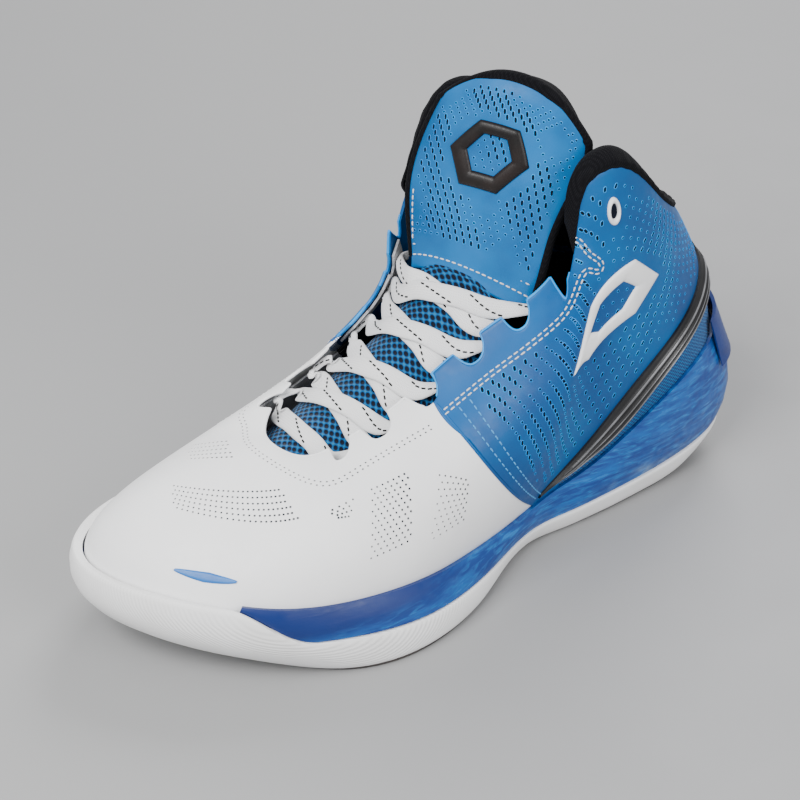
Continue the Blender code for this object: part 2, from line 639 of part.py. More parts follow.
def build_trim():
    along = np.linspace(0, 6, 17)
    front = FIN_FRONT(along)
    rear = FIN_REAR(along)
    across = np.linspace(0, 1, 3)[None, :, None]
    wv = front[:, None] * (1 - across) + rear[:, None] * across
    for side, name in ((1, "lateral"), (-1, "medial")):
        w = wv[..., 0] if side > 0 else STATIONS - wv[..., 0]
        layer(name + "_fin", w, wv[..., 1], 1.9, GAP + 0.1, TPU)

    w, v = np.meshgrid(np.linspace(-0.26, 0.26, 4), np.linspace(0.40, 0.80, 7), indexing="ij")
    layer("heel_backstay", w, v, 1.5, GAP + 0.1, BLACK)

    # heel clip: starts on the midsole's wall and ends on the upper above it
    w, q = np.meshgrid(round_heel([0, 0.25, 0.5, 0.75, 1, 1.33]), np.linspace(0, 1, 6), indexing="ij")
    top_z = mid_height(w)
    low = wall(w, 0.80)
    crest = upper(w, level(w, top_z), 2.2)
    high = upper(w, level(w, top_z + 9), 1.2)
    q = q[..., None]
    face = (1 - q)**2 * low + 2 * q * (1 - q) * crest + q * q * high
    outward = unit(wall(w, 0.9, -1.0) - wall(w, 0.9))
    add_object("heel_clip", *sheet(face + outward * 2.4, face + outward * 1.1), ((0.02, 0.12, 0.4), 0.4))

    for side, name in ((1, "lateral"), (-1, "medial")):
        # oval eyelet at the ankle
        turn = np.arange(20) / 20 * 2 * np.pi
        radii = np.array([1.0, 0.52])
        a, r = np.meshgrid(turn, radii, indexing="ij")
        w = 4.05 + 0.155 * r * np.cos(a)
        v = 0.84 + 0.034 * r * np.sin(a)
        layer_points = sheet(upper(w if side > 0 else STATIONS - w, v, 1.3),
                             upper(w if side > 0 else STATIONS - w, v, GAP), ring=True)
        add_object(name + "_ankle_eyelet", *layer_points, WHITE)
        # plain two-bar mark on the quarter, one body with a bridge between the bars
        add_object(name + "_side_mark", *side_mark(side), WHITE)
    add_object("toe_mark", *toe_mark(), BLUE)


def hexagon(samples, inner):
    """A six-cornered ring of radius 1: two grids, x and y, outer edge first."""
    turn = np.arange(samples) / samples * 2 * np.pi
    radius = np.cos(np.pi / 6) / np.cos((turn % (np.pi / 3)) - np.pi / 6)
    radius = np.stack([radius, radius * inner], 1)
    return radius * np.cos(turn)[:, None], radius * np.sin(turn)[:, None]


def side_mark(side):
    """A long plain six-cornered ring, leaning back, on the quarter."""
    x, y = hexagon(18, 0.5)
    w = 4.15 - 1.35 * x
    v = 0.60 + 0.075 * x + 0.085 * y
    w = w if side > 0 else STATIONS - w
    return sheet(upper(w, v, 1.0), upper(w, v, GAP + 0.2), ring=True)


def toe_mark():
    """A small flat lozenge on the toe, on the lateral side."""
    s = np.linspace(-1, 1, 7)[:, None]
    c = np.linspace(-1, 1, 3)[None, :]
    w = 10.15 + 0.22 * s + 0 * c
    v = 0.36 + c * 0.022 * (1.05 - np.abs(s))**0.5
    return sheet(upper(w, v, 0.7), upper(w, v, GAP))


# ---------------------------------------------------------------- tongue
TONGUE_COLUMNS = 11
BADGE = (-0.05, 5.62)    # middle of the badge on the tongue


def tongue_layer(name, t_low, t_high, outside, inside, look, origin, rows=9):
    """A layer of the tongue between two offsets, with rounded corners at its top."""
    s, r = np.meshgrid(np.linspace(-1, 1, TONGUE_COLUMNS), np.linspace(0, 1, rows), indexing="ij")
    top = t_high - (0.55 * np.abs(s)**3 if t_high > FOLD_T else 0)
    t = t_low + (top - t_low) * r
    add_object(name, *sheet(tongue(s, t, outside), tongue(s, t, inside)), look, origin)


SOCK_PIVOT = (-6.0, -130.2, 26.0)
TONGUE_PIVOT = tuple(tongue(0.0, 0.0, -2.0))
FOLD_PIVOT = tuple(tongue(0.0, FOLD_T, 0.6))


def build_tongue():
    tongue_layer("tongue_mesh", 0.0, FOLD_T - 0.02, 0, -TONGUE_MESH, CYAN, TONGUE_PIVOT, 13)
    tongue_layer("tongue_panel", FOLD_T + 0.02, 7.0, 0, -TONGUE_SKIN, CYAN, FOLD_PIVOT)
    foam_out = -TONGUE_SKIN - GAP
    s = np.linspace(-1, 1, TONGUE_COLUMNS)[:, None]
    foam_in = foam_out - 0.6 - TONGUE_FOAM * (1 - np.abs(s)**3)
    tongue_layer("tongue_foam", FOLD_T + 0.26, 6.97, foam_out, foam_in, ((0.8, 0.78, 0.6), 0.95),
                 FOLD_PIVOT)
    tongue_layer("tongue_lining", FOLD_T + 0.26, 7.0, foam_in - GAP, foam_in - GAP - 0.9, BLACK,
                 FOLD_PIVOT)
    # the badge stands on the front panel
    x, y = hexagon(12, 0.56)
    s = BADGE[0] + 0.50 * x
    t = BADGE[1] + 0.52 * y
    add_object("tongue_badge", *sheet(tongue(s, t, 1.8), tongue(s, t, 0.6), ring=True), BLACK, FOLD_PIVOT)


# ---------------------------------------------------------------- lace
TAB_ENDS = [(5.93, 6.62), (6.62, 7.18), (7.18, 7.78), (7.78, 8.47), (8.47, 9.18)]   # tabs 5 to 1
CROSS_T = [3.72, 3.08, 2.42, 1.82]     # tongue stations of the crossings, from the ankle down
CROSS_SLOPE = 0.20
BAR_T = 1.2


UNDER_TAB = [(-0.42, 0.930, -4.7), (0.0, 0.868, -4.3), (0.42, 0.930, -4.7)]   # share, v, offset
LACE_END = [(5.98, 0.79, -4.4), (6.14, 0.84, -4.3)]
TURN_GATHER = 0.22       # the lace bunches where it turns under a tab


def face_at(place, a, b):
    """The outward direction of a surface."""
    return unit(place(a, b, 1.0) - place(a, b, 0.0))


def under_tab(side, tab, going_down):
    """The lace where it turns under a tab: points and the directions its flat side faces."""
    near, far = TAB_ENDS[tab]
    made = []
    for share, v, off in UNDER_TAB:
        w = (near + far) / 2 + share * (far - near) / 2
        w = w if side > 0 else STATIONS - w
        facing = unit(face_at(upper, w, v) * (0.3 if share else 1.0) + np.array([0, -0.7, 0.7]))
        made.append((upper(w, v, off), facing, TURN_GATHER))
    return made if going_down else made[::-1]


def crossing(side_from, t, slope, high):
    """The lace over the tongue from one side to the other; slope is its rise in t."""
    made = []
    stations = (0.70, 0.36, 0.0, -0.40, -0.82)
    for s in stations if side_from > 0 else reversed(stations):
        lift = 1.9 + (2.3 * max(0, 1 - (s / 0.82)**2) if high else 0) - min(0, s + 0.4) * 4
        place = (s, t - slope * s * side_from)
        made.append((tongue(*place, lift), face_at(tongue, *place), LACE_GATHER))
    return made


def lace_route():
    """The lace from its lateral end, down the throat, over the bar and up again."""
    route = [(upper(w, v, off), face_at(upper, w, v), TURN_GATHER) for w, v, off in LACE_END]
    side = 1
    for tab in range(4):
        route += under_tab(side, tab, True)[2 if tab == 0 else 0:]
        route += crossing(side, CROSS_T[tab], -CROSS_SLOPE, tab % 2 == 0)
        side = -side
    route += under_tab(side, 4, True) + crossing(side, BAR_T, 0.0, False)
    side = -side
    route += under_tab(side, 4, False)
    for tab in range(3, -1, -1):
        route += crossing(side, CROSS_T[tab], CROSS_SLOPE, tab % 2 == 1)
        side = -side
        route += under_tab(side, tab, False)[:1 if tab == 0 else 3]
    for w, v, off in reversed(LACE_END):
        route.append((upper(STATIONS - w, v, off), face_at(upper, STATIONS - w, v), TURN_GATHER))
    return route


def build_lace():
    route = lace_route()
    t = np.linspace(0, len(route) - 1, 2 * (len(route) - 1) + 1)
    centre = open_spline([point for point, _, _ in route])(t)
    facing = open_spline([face for _, face, _ in route])(t)
    gather = np.interp(t, np.arange(len(route)), [share for _, _, share in route])[:, None]
    ahead = unit(np.gradient(centre, axis=0))
    across = unit(np.cross(ahead, facing)) * LACE_WIDTH / 2 * gather
    flat = unit(np.cross(across, ahead)) * LACE_THICK / 2 * (1.25 - 0.3 * gather)
    rings = np.stack([centre + across + flat, centre - across + flat, centre - across - flat,
                      centre + across - flat], 1)
    count = len(centre)
    points = rings.reshape(-1, 3)
    faces = [(3, 2, 1, 0), tuple((count - 1) * 4 + i for i in range(4))]
    for k in range(count - 1):
        for i in range(4):
            j = (i + 1) % 4
            faces.append((k * 4 + i, k * 4 + j, (k + 1) * 4 + j, (k + 1) * 4 + i))
    add_object("lace", points, faces, ((0.85, 0.85, 0.85), 0.8))


# ---------------------------------------------------------------- assembly
for old in list(bpy.data.objects):
    bpy.data.objects.remove(old, do_unlink=True)

board = build_sole()
build_sockliner(board)
build_upper()
build_collar()
build_trim()
build_tongue()
build_lace()
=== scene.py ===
import bpy
import numpy as np
from mathutils import Matrix


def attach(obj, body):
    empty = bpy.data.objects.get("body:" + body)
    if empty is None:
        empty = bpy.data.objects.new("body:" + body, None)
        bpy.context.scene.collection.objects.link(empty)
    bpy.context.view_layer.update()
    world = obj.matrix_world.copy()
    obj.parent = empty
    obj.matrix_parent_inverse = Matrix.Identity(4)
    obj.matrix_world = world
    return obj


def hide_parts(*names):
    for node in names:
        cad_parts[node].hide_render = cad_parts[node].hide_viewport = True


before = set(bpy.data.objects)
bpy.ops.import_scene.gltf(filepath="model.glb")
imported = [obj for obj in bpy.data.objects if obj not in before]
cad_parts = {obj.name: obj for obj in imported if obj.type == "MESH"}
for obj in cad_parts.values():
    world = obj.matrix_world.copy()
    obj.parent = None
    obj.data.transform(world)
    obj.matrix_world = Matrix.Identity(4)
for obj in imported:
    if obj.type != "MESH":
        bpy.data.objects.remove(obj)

MM = 0.001
SHIFT = np.array([-5.37, -1.96, 0.0])   # puts the middle of the shoe's box on the origin
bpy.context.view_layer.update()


# ---------------------------------------------------------------- driving dimensions, mm
GAP = 0.3                # between pieces that touch
PANEL = 1.2              # synthetic leather panels
RIM = 2.6                # side wall of the cupped outsole
TREAD = 4.0              # outsole under the foot
BOARD = 1.5              # lasting board
SOCK = 4.0               # removable sockliner
SHANK = 1.4              # shank plate
CUP_GAP = 1.0            # between the midsole's cup and the upper
LINING_OUT = -3.4        # lining's outer face, measured from the upper's surface
LINING_IN = -4.2
TONGUE_MESH = 4.0
TONGUE_SKIN = 1.2
TONGUE_FOAM = 6.5
LACE_WIDTH = 8.0
LACE_THICK = 1.2
LACE_GATHER = 0.68       # a lace pulled tight gathers to this share of its flat width
STATIONS = 22

# stations of the facets round the sole, closer together round the heel and the toe
HALF_COLUMNS = [0, 0.25, 0.5, 0.75, 1, 1.33, 1.67, 2, 2.5, 3, 3.5, 4, 4.5, 5, 5.5, 6, 6.5, 7,
                7.5, 8, 8.5, 9, 9.25, 9.4, 9.55, 9.68, 9.8, 10, 10.2, 10.4, 10.6, 10.8, 11]

# ---------------------------------------------------------------- the last
# feather edge, lower handle, upper handle, top line
LAST = [
    ((0, 138, 22), (0, 158, 58), (0, 141, 98), (0, 124, 128)),
    ((21, 132, 22), (26, 149, 58), (20, 133, 100), (18, 115, 134)),
    ((33, 113, 22), (41, 124, 60), (35, 110, 106), (30, 98, 151)),
    ((35, 88, 21), (47, 94, 60), (42, 88, 120), (36, 84, 168)),
    ((35, 62, 20), (48, 66, 58), (46, 70, 130), (37, 67, 179)),
    ((36, 40, 19), (50, 46, 56), (45, 62, 126), (36, 49, 165)),
    ((42, 15, 18), (56, 24, 50), (45, 53, 102), (33, 45, 130)),
    ((49, -14, 16), (63, -6, 48), (42, 22, 91), (22, 18, 106)),
    ((55, -46, 15), (69, -40, 48), (42, -14, 82), (18, -18, 85)),
    ((52, -82, 16), (68, -86, 48), (41, -50, 77), (17, -44, 76)),
    ((32, -117, 20), (48, -134, 48), (28, -74, 73), (12, -60, 71)),
    ((-10, -136, 24), (-12, -175, 52), (-7, -94, 75), (-4, -66, 70)),
    ((-36, -118, 20), (-47, -139, 48), (-30, -82, 69), (-17, -62, 70)),
    ((-46, -84, 16), (-54, -90, 46), (-39, -56, 71), (-25, -50, 76)),
    ((-48, -48, 15), (-56, -44, 46), (-43, -26, 76), (-28, -26, 87)),
    ((-44, -14, 16), (-52, -6, 52), (-45, 8, 90), (-32, 4, 106)),
    ((-37, 16, 18), (-46, 26, 56), (-45, 28, 106), (-36, 12, 130)),
    ((-34, 40, 19), (-44, 46, 58), (-47, 40, 128), (-42, 27, 162)),
    ((-34, 62, 20), (-43, 62, 60), (-47, 54, 134), (-43, 45, 184)),
    ((-34, 88, 21), (-42, 90, 60), (-43, 82, 122), (-41, 73, 174)),
    ((-32, 113, 22), (-38, 123, 60), (-36, 108, 106), (-33, 97, 151)),
    ((-20, 132, 22), (-24, 148, 58), (-21, 132, 100), (-18, 114, 134)),
]

# ground edge, handle of the side wall, height of the midsole's top edge, of the outsole's edge
SOLE = [
    ((0, 142, 5), (0, 166, 28), 66, 20),
    ((26, 128, 3), (33, 158, 28), 65, 19),
    ((33, 102, 0), (46, 114, 28), 61, 14),
    ((35, 76, 0), (45, 78, 20), 49, 12),
    ((35, 52, 0), (43, 52, 12), 33, 11),
    ((35, 33, 0), (43, 33, 10), 27, 11),
    ((44, 13, 0), (50, 14, 11), 25, 12),
    ((57, -9, 0), (63, -8, 12), 26, 14),
    ((66, -38, 0), (71, -40, 14), 30, 16),
    ((60, -72, 0), (68, -78, 16), 35, 20),
    ((28, -108, 4), (46, -127, 20), 41, 24),
    ((-12, -132, 9), (-12, -160, 24), 43, 26),
    ((-42, -110, 6), (-53, -128, 20), 41, 24),
    ((-52, -80, 1), (-60, -84, 16), 35, 20),
    ((-53, -50, 0), (-61, -50, 14), 30, 16),
    ((-46, -20, 0), (-54, -18, 12), 26, 14),
    ((-39, 6, 0), (-46, 8, 11), 25, 12),
    ((-35, 30, 0), (-42, 31, 10), 27, 11),
    ((-34, 54, 0), (-41, 54, 12), 33, 11),
    ((-34, 80, 0), (-43, 81, 20), 49, 12),
    ((-32, 104, 0), (-43, 112, 28), 61, 14),
    ((-22, 130, 3), (-27, 150, 32), 65, 19),
]
TOE_WRAP = (9.2, 9.9)    # stations where the outsole climbs to the upper, mirrored medially

# the tongue's medial edge, middle and lateral edge, from its base to its top
TONGUE = [
    ((-26, -77, 51), (-4, -80, 58), (17, -82, 51)),
    ((-28, -52, 59), (-4, -57, 66), (20, -52, 58)),
    ((-29, -28, 70), (-4, -29, 78), (22, -24, 69)),
    ((-26, 1, 88), (-4, -2, 97), (23, 10, 86)),
    ((-22, 13, 116), (-3, 20, 119), (25, 38, 109)),
    ((-29, 17, 148), (-1, 32, 150), (25, 50, 142)),
    ((-30, 28, 176), (1, 43, 180), (26, 64, 168)),
    ((-27, 38, 194), (3, 51, 200), (25, 63, 187)),
]
FOLD_T = 4.08            # where the padded top of the tongue folds forward

# throat notches: station, half width and depth, from the ankle down to the toe
NOTCHES = [(5.93, 0.16, 0.10), (6.62, 0.16, 0.10), (7.18, 0.16, 0.11), (7.78, 0.18, 0.13),
           (8.47, 0.24, 0.13), (9.18, 0.24, 0.13)]


# ---------------------------------------------------------------- curves and surfaces
def closed_spline(points):
    """A smooth closed curve through the points; its parameter is the point number."""
    points = np.asarray(points, float)
    count = len(points)
    matrix = 4 * np.eye(count) + np.roll(np.eye(count), 1, 1) + np.roll(np.eye(count), -1, 1)
    rate = 6 * (np.roll(points, -1, 0) - 2 * points + np.roll(points, 1, 0))
    bend = np.linalg.solve(matrix, rate)

    def curve(t):
        t = np.asarray(t, float) % count
        i = np.floor(t).astype(int) % count
        b = (t - np.floor(t))[..., None]
        j = (i + 1) % count
        a = 1 - b
        return a * points[i] + b * points[j] + ((a**3 - a) * bend[i] + (b**3 - b) * bend[j]) / 6
    return curve


def open_spline(points):
    """A smooth open curve through the points; its parameter is the point number."""
    points = np.asarray(points, float)
    count = len(points)
    matrix = np.eye(count)
    rate = np.zeros_like(points)
    for i in range(1, count - 1):
        matrix[i, i - 1:i + 2] = (1, 4, 1)
        rate[i] = 6 * (points[i + 1] - 2 * points[i] + points[i - 1])
    bend = np.linalg.solve(matrix, rate)

    def curve(t):
        t = np.clip(np.asarray(t, float), 0, count - 1)
        i = np.minimum(np.floor(t).astype(int), count - 2)
        b = (t - i)[..., None]
        a = 1 - b
        return a * points[i] + b * points[i + 1] + ((a**3 - a) * bend[i] + (b**3 - b) * bend[i + 1]) / 6
    return curve


def smooth_step(x, low, high):
    t = np.clip((np.asarray(x, float) - low) / (high - low), 0, 1)
    return t * t * (3 - 2 * t)


def unit(vectors):
    return vectors / np.linalg.norm(vectors, axis=-1, keepdims=True)


FEATHER, LOWER, UPPER, TOP = [closed_spline([row[i] for row in LAST]) for i in range(4)]
GROUND, FLARE = [closed_spline([row[i] for row in SOLE]) for i in range(2)]
MID_HEIGHT, OUT_HEIGHT = [closed_spline([[row[i]] for row in SOLE]) for i in (2, 3)]
TONGUE_MEDIAL, TONGUE_MIDDLE, TONGUE_LATERAL = [open_spline([row[i] for row in TONGUE]) for i in range(3)]


def surface(w, v):
    """A point of the upper's surface."""
    w, v = np.broadcast_arrays(np.asarray(w, float), np.asarray(v, float))
    v = v[..., None]
    return ((1 - v)**3 * FEATHER(w) + 3 * (1 - v)**2 * v * LOWER(w)
            + 3 * (1 - v) * v * v * UPPER(w) + v**3 * TOP(w))


def upper(w, v, offset=0.0):
    """A point of the upper, moved along the outward normal by offset."""
    step = 0.01
    w, v, offset = np.broadcast_arrays(np.asarray(w, float), np.asarray(v, float), offset)
    along = surface(w + step, v) - surface(w - step, v)
    rising = surface(w, v + step) - surface(w, v - step)
    return surface(w, v) + unit(np.cross(rising, along)) * offset[..., None]


def level(w, z):
    """The v at which the upper's surface reaches the height z."""
    w = np.asarray(w, float)
    low = np.zeros_like(w)
    high = np.full_like(w, 0.8)
    for _ in range(30):
        middle = (low + high) / 2
        below = surface(w, middle)[..., 2] < z
        low = np.where(below, middle, low)
        high = np.where(below, high, middle)
    return low


def toe_wrap(w):
    """0 along the sides, 1 where the outsole wraps the toe."""
    w = np.asarray(w, float) % STATIONS
    start, end = TOE_WRAP
    return smooth_step(w, start, end) * (1 - smooth_step(w, STATIONS - end, STATIONS - start))


def ground_edge(w):
    """The outline of the tread on the ground."""
    point = GROUND(w)
    point[..., 2] = np.maximum(point[..., 2], 0)
    return point


def rim_top_depth(w):
    """Thickness of the outsole's rim at its top: thinner where it starts to climb the toe."""
    w = np.minimum(w, STATIONS - w)
    return RIM - 1.2 * smooth_step(w, 9.3, 9.7) * (1 - smooth_step(w, 9.8, 10.0))


def mid_height(w):
    return MID_HEIGHT(w)[..., 0]


def out_height(w):
    blend = toe_wrap(w)
    return OUT_HEIGHT(w)[..., 0] * (1 - blend) + mid_height(w) * blend


def wall(w, u, inward=0.0):
    """The sole's side wall: u = 0 at the ground, 1 where it meets the upper."""
    def raw(w, u):
        u = u[..., None]
        crest = upper(w, level(w, mid_height(w)), 2.2 + 2.1 * toe_wrap(w))
        return (1 - u)**2 * ground_edge(w) + 2 * u * (1 - u) * FLARE(w) + u * u * crest
    step = 0.01
    w, u, inward = np.broadcast_arrays(np.asarray(w, float), np.asarray(u, float), inward)
    along = raw(w + step, u) - raw(w - step, u)
    rising = raw(w, u + step) - raw(w, u - step)
    return raw(w, u) - unit(np.cross(rising, along)) * inward[..., None]


def wall_at(w, z):
    """The u at which the side wall reaches the height z."""
    low = np.zeros_like(w)
    high = np.ones_like(w)
    for _ in range(25):
        middle = (low + high) / 2
        below = wall(w, middle)[..., 2] < z
        low = np.where(below, middle, low)
        high = np.where(below, high, middle)
    return low


def tongue(s, t, offset=0.0):
    """A point of the tongue: s from -1 (medial edge) to 1 (lateral edge), t from base to top."""
    def raw(s, t):
        s = s[..., None]
        return (TONGUE_MEDIAL(t) * s * (s - 1) / 2 + TONGUE_MIDDLE(t) * (1 - s * s)
                + TONGUE_LATERAL(t) * s * (s + 1) / 2)
    step = 0.02
    s, t, offset = np.broadcast_arrays(np.asarray(s, float), np.asarray(t, float), offset)
    high = np.minimum(t + step, len(TONGUE) - 1)
    low = np.maximum(high - 2 * step, 0)
    rising = raw(s, low + 2 * step) - raw(s, low)
    across = raw(s + step, t) - raw(s - step, t)
    return raw(s, t) + unit(np.cross(across, rising)) * offset[..., None]


# ---------------------------------------------------------------- outlines on the upper
def seam(v):
    """Station of the lateral seam between the vamp and the quarter."""
    return 5.1 + 2.68 * (1 - (1 - np.asarray(v, float))**2.2)


def collar_edge(w):
    """v where the panels stop under the collar's binding, which is wider on the front edges."""
    return 0.955 - 0.055 * smooth_step(np.abs(w), 4.5, 5.3)


def throat_edge(w):
    """v of the panels' upper edge: tabs and half-round notches, then the collar."""
    w = np.asarray(w, float)
    w = np.minimum(w, STATIONS - w)
    edge = collar_edge(w) + (0.96 - collar_edge(w)) * smooth_step(w, 5.52, 5.66)
    edge = edge + 0.04 * smooth_step(w, 5.9, 6.08)
    for station, half, depth in NOTCHES:
        x = np.clip(np.abs(w - station) / half, 0, 1)
        edge = edge - depth * (1 - x**2.5)**0.6
    return edge


FIN_LINE = open_spline([(0.0, 0.66), (1.05, 0.60), (2.0, 0.50), (2.95, 0.34), (3.8, 0.21), (4.5, 0.13)])


def fin_line(w):
    """v of the line under the fins where the quarter meets the heel panel."""
    w = np.abs(np.asarray(w, float))
    table = FIN_LINE(np.linspace(0, 5, 60))
    return np.interp(w, table[:, 0], table[:, 1]) * (1 - smooth_step(w, 4.5, 5.0))


# ---------------------------------------------------------------- mesh building
def volume(points, faces):
    total = 0.0
    for face in faces:
        for i in range(1, len(face) - 1):
            total += np.dot(points[face[0]], np.cross(points[face[i]], points[face[i + 1]]))
    return total


def sheet(outside, inside, ring=False):
    """A closed body between two grids of points; a ring closes round its first index."""
    rows, cols = outside.shape[:2]
    points = np.concatenate([outside.reshape(-1, 3), inside.reshape(-1, 3)])

    def a(i, j):
        return (i % rows) * cols + j

    def b(i, j):
        return rows * cols + a(i, j)
    faces = []
    last = rows if ring else rows - 1
    for i in range(last):
        for j in range(cols - 1):
            faces.append((a(i, j), a(i + 1, j), a(i + 1, j + 1), a(i, j + 1)))
            faces.append((b(i, j), b(i, j + 1), b(i + 1, j + 1), b(i + 1, j)))
        faces.append((a(i, 0), b(i, 0), b(i + 1, 0), a(i + 1, 0)))
        faces.append((a(i, cols - 1), a(i + 1, cols - 1), b(i + 1, cols - 1), b(i, cols - 1)))
    if not ring:
        for j in range(cols - 1):
            faces.append((a(0, j), a(0, j + 1), b(0, j + 1), b(0, j)))
            faces.append((a(rows - 1, j), b(rows - 1, j), b(rows - 1, j + 1), a(rows - 1, j + 1)))
    return points, faces


def stack(loops):
    """A closed body through loops of equal length; the end loops are closed across the shoe."""
    count = len(loops[0])
    points = np.concatenate(loops)
    faces = []
    for k in range(len(loops) - 1):
        for i in range(count):
            j = (i + 1) % count
            faces.append((k * count + i, k * count + j, (k + 1) * count + j, (k + 1) * count + i))
    half = count // 2
    for base, flip in ((0, False), ((len(loops) - 1) * count, True)):
        cap = [(base, base + count - 1, base + 1)]
        for i in range(1, half - 1):
            cap.append((base + i, base + count - i, base + count - i - 1, base + i + 1))
        cap.append((base + half - 1, base + half + 1, base + half))
        faces += [tuple(reversed(face)) for face in cap] if flip else cap
    return points, faces


def stretched(columns, pivot, old_end, new_end):
    """Moves stations beyond the pivot so that old_end lands on new_end."""
    columns = np.asarray(columns, float)
    beyond = (columns - pivot) * np.sign(old_end - pivot) > 0
    return np.where(beyond, pivot + (columns - pivot) * (new_end - pivot) / (old_end - pivot), columns)


def band(columns, low, high, rows):
    """A grid between two lines of v over the same stations; each line is a number or a function."""
    columns = np.asarray(columns, float)
    low, high = [line(columns) if callable(line) else np.full_like(columns, line) for line in (low, high)]
    rows = np.asarray(rows, float)[None, :]
    v = low[:, None] * (1 - rows) + high[:, None] * rows
    return columns[:, None] + 0 * v, v


def mirrored(half):
    """Stations on both sides of the toe, from those on the lateral side."""
    half = np.asarray(half, float)
    return np.concatenate([half, (STATIONS - half[:-1])[::-1]])


def round_heel(half):
    """Stations on both sides of the heel, from those on the lateral side."""
    half = np.asarray(half, float)
    return np.concatenate([-half[:0:-1], half])


def inset(loop, distance):
    """Moves a closed loop inwards in plan."""
    ahead = np.roll(loop, -1, 0) - np.roll(loop, 1, 0)
    normal = unit(np.stack([ahead[:, 1], -ahead[:, 0], np.zeros(len(loop))], -1))
    centre = loop.mean(0)
    outward = np.sign(np.sum(normal * (loop - centre), -1).sum())
    return loop - normal * outward * distance


def hexagon(samples, inner, shares):
    """A six-cornered ring of radius 1: two grids, x and y, at shares of the way to its inner edge."""
    turn = np.arange(samples) / samples * 2 * np.pi
    radius = np.cos(np.pi / 6) / np.cos((turn % (np.pi / 3)) - np.pi / 6)
    x = np.stack([radius, radius * inner], 1) * np.cos(turn)[:, None]
    y = np.stack([radius, radius * inner], 1) * np.sin(turn)[:, None]
    shares = np.array(shares)
    return (x[:, :1] + (x[:, 1:] - x[:, :1]) * shares,
            y[:, :1] + (y[:, 1:] - y[:, :1]) * shares)


# ---------------------------------------------------------------- materials
class Look:
    """A procedural material being made: each method adds a node and returns its output socket."""

    def __init__(self, name, **plain):
        self.made = bpy.data.materials.new(name)
        self.made.use_nodes = True
        self.tree = self.made.node_tree
        self.shader = self.tree.nodes["Principled BSDF"]
        for socket, value in plain.items():
            self.shader.inputs[socket.replace("_", " ")].default_value = value
        self.place = self.tree.nodes.new("ShaderNodeTexCoord")
        self.normal = None

    def feed(self, socket, value):
        if isinstance(value, bpy.types.NodeSocket):
            self.tree.links.new(value, socket)
        else:
            socket.default_value = value

    def coordinates(self, source="Object", scale=(1, 1, 1), turn=(0, 0, 0)):
        node = self.tree.nodes.new("ShaderNodeMapping")
        node.inputs["Scale"].default_value = scale
        node.inputs["Rotation"].default_value = turn
        self.tree.links.new(self.place.outputs[source], node.inputs["Vector"])
        return node.outputs[0]

    def noise(self, scale, detail=3.0, at=None, distort=0.0):
        node = self.tree.nodes.new("ShaderNodeTexNoise")
        node.inputs["Scale"].default_value = scale
        node.inputs["Detail"].default_value = detail
        node.inputs["Distortion"].default_value = distort
        self.feed(node.inputs["Vector"], at or self.place.outputs["Object"])
        return node.outputs[0]

    def cells(self, scale, at=None, loose=1.0, out="Distance"):
        node = self.tree.nodes.new("ShaderNodeTexVoronoi")
        node.inputs["Scale"].default_value = scale
        node.inputs["Randomness"].default_value = loose
        self.feed(node.inputs["Vector"], at or self.place.outputs["Object"])
        return node.outputs[out]

    def waves(self, scale, at, distort=0.0):
        node = self.tree.nodes.new("ShaderNodeTexWave")
        node.inputs["Scale"].default_value = scale
        node.inputs["Distortion"].default_value = distort
        self.feed(node.inputs["Vector"], at)
        return node.outputs["Fac"]

    def between(self, value, low, high, to_low=0.0, to_high=1.0):
        node = self.tree.nodes.new("ShaderNodeMapRange")
        node.interpolation_type = "SMOOTHSTEP"
        self.feed(node.inputs["Value"], value)
        for socket, number in zip(("From Min", "From Max", "To Min", "To Max"), (low, high, to_low, to_high)):
            node.inputs[socket].default_value = number
        return node.outputs[0]

    def maths(self, operation, a, b=0.0):
        node = self.tree.nodes.new("ShaderNodeMath")
        node.operation = operation
        self.feed(node.inputs[0], a)
        self.feed(node.inputs[1], b)
        return node.outputs[0]

    def axis(self, index, at=None):
        node = self.tree.nodes.new("ShaderNodeSeparateXYZ")
        self.feed(node.inputs[0], at or self.place.outputs["Object"])
        return node.outputs[index]

    def mixed(self, factor, first, second):
        node = self.tree.nodes.new("ShaderNodeMix")
        node.data_type = "RGBA"
        self.feed(node.inputs["Factor"], factor)
        for socket, colour in ((node.inputs[6], first), (node.inputs[7], second)):
            self.feed(socket, (*colour, 1) if isinstance(colour, tuple) else colour)
        return node.outputs[2]

    def bump(self, height, distance, strength=1.0):
        node = self.tree.nodes.new("ShaderNodeBump")
        node.inputs["Strength"].default_value = strength
        node.inputs["Distance"].default_value = distance * MM
        self.feed(node.inputs["Height"], height)
        if self.normal:
            self.feed(node.inputs["Normal"], self.normal)
        self.normal = node.outputs[0]

    def done(self, colour, roughness=None):
        self.feed(self.shader.inputs["Base Color"], colour)
        if roughness is not None:
            self.feed(self.shader.inputs["Roughness"], roughness)
        if self.normal:
            self.feed(self.shader.inputs["Normal"], self.normal)
        return self.made


def leather(name, dark, light, rough, cloud=28.0):
    """Satin synthetic leather: a fine pebbled grain, faint clouding and slight creasing."""
    look = Look(name, Specular_IOR_Level=0.32, Coat_Weight=0.05, Coat_Roughness=0.35)
    clouds = look.between(look.noise(cloud, 3), 0.3, 0.7)
    grain = look.cells(1500)
    pores = look.noise(2600, 2)
    look.bump(grain, 0.05, 0.35)
    look.bump(look.noise(120, 4), 0.25, 0.25)
    tone = look.mixed(clouds, dark, light)
    worn = look.mixed(look.between(pores, 0.35, 0.75, 0, 0.25), tone, light)
    return look.done(worn, look.between(look.noise(260, 3), 0.3, 0.7, rough - 0.06, rough + 0.08))


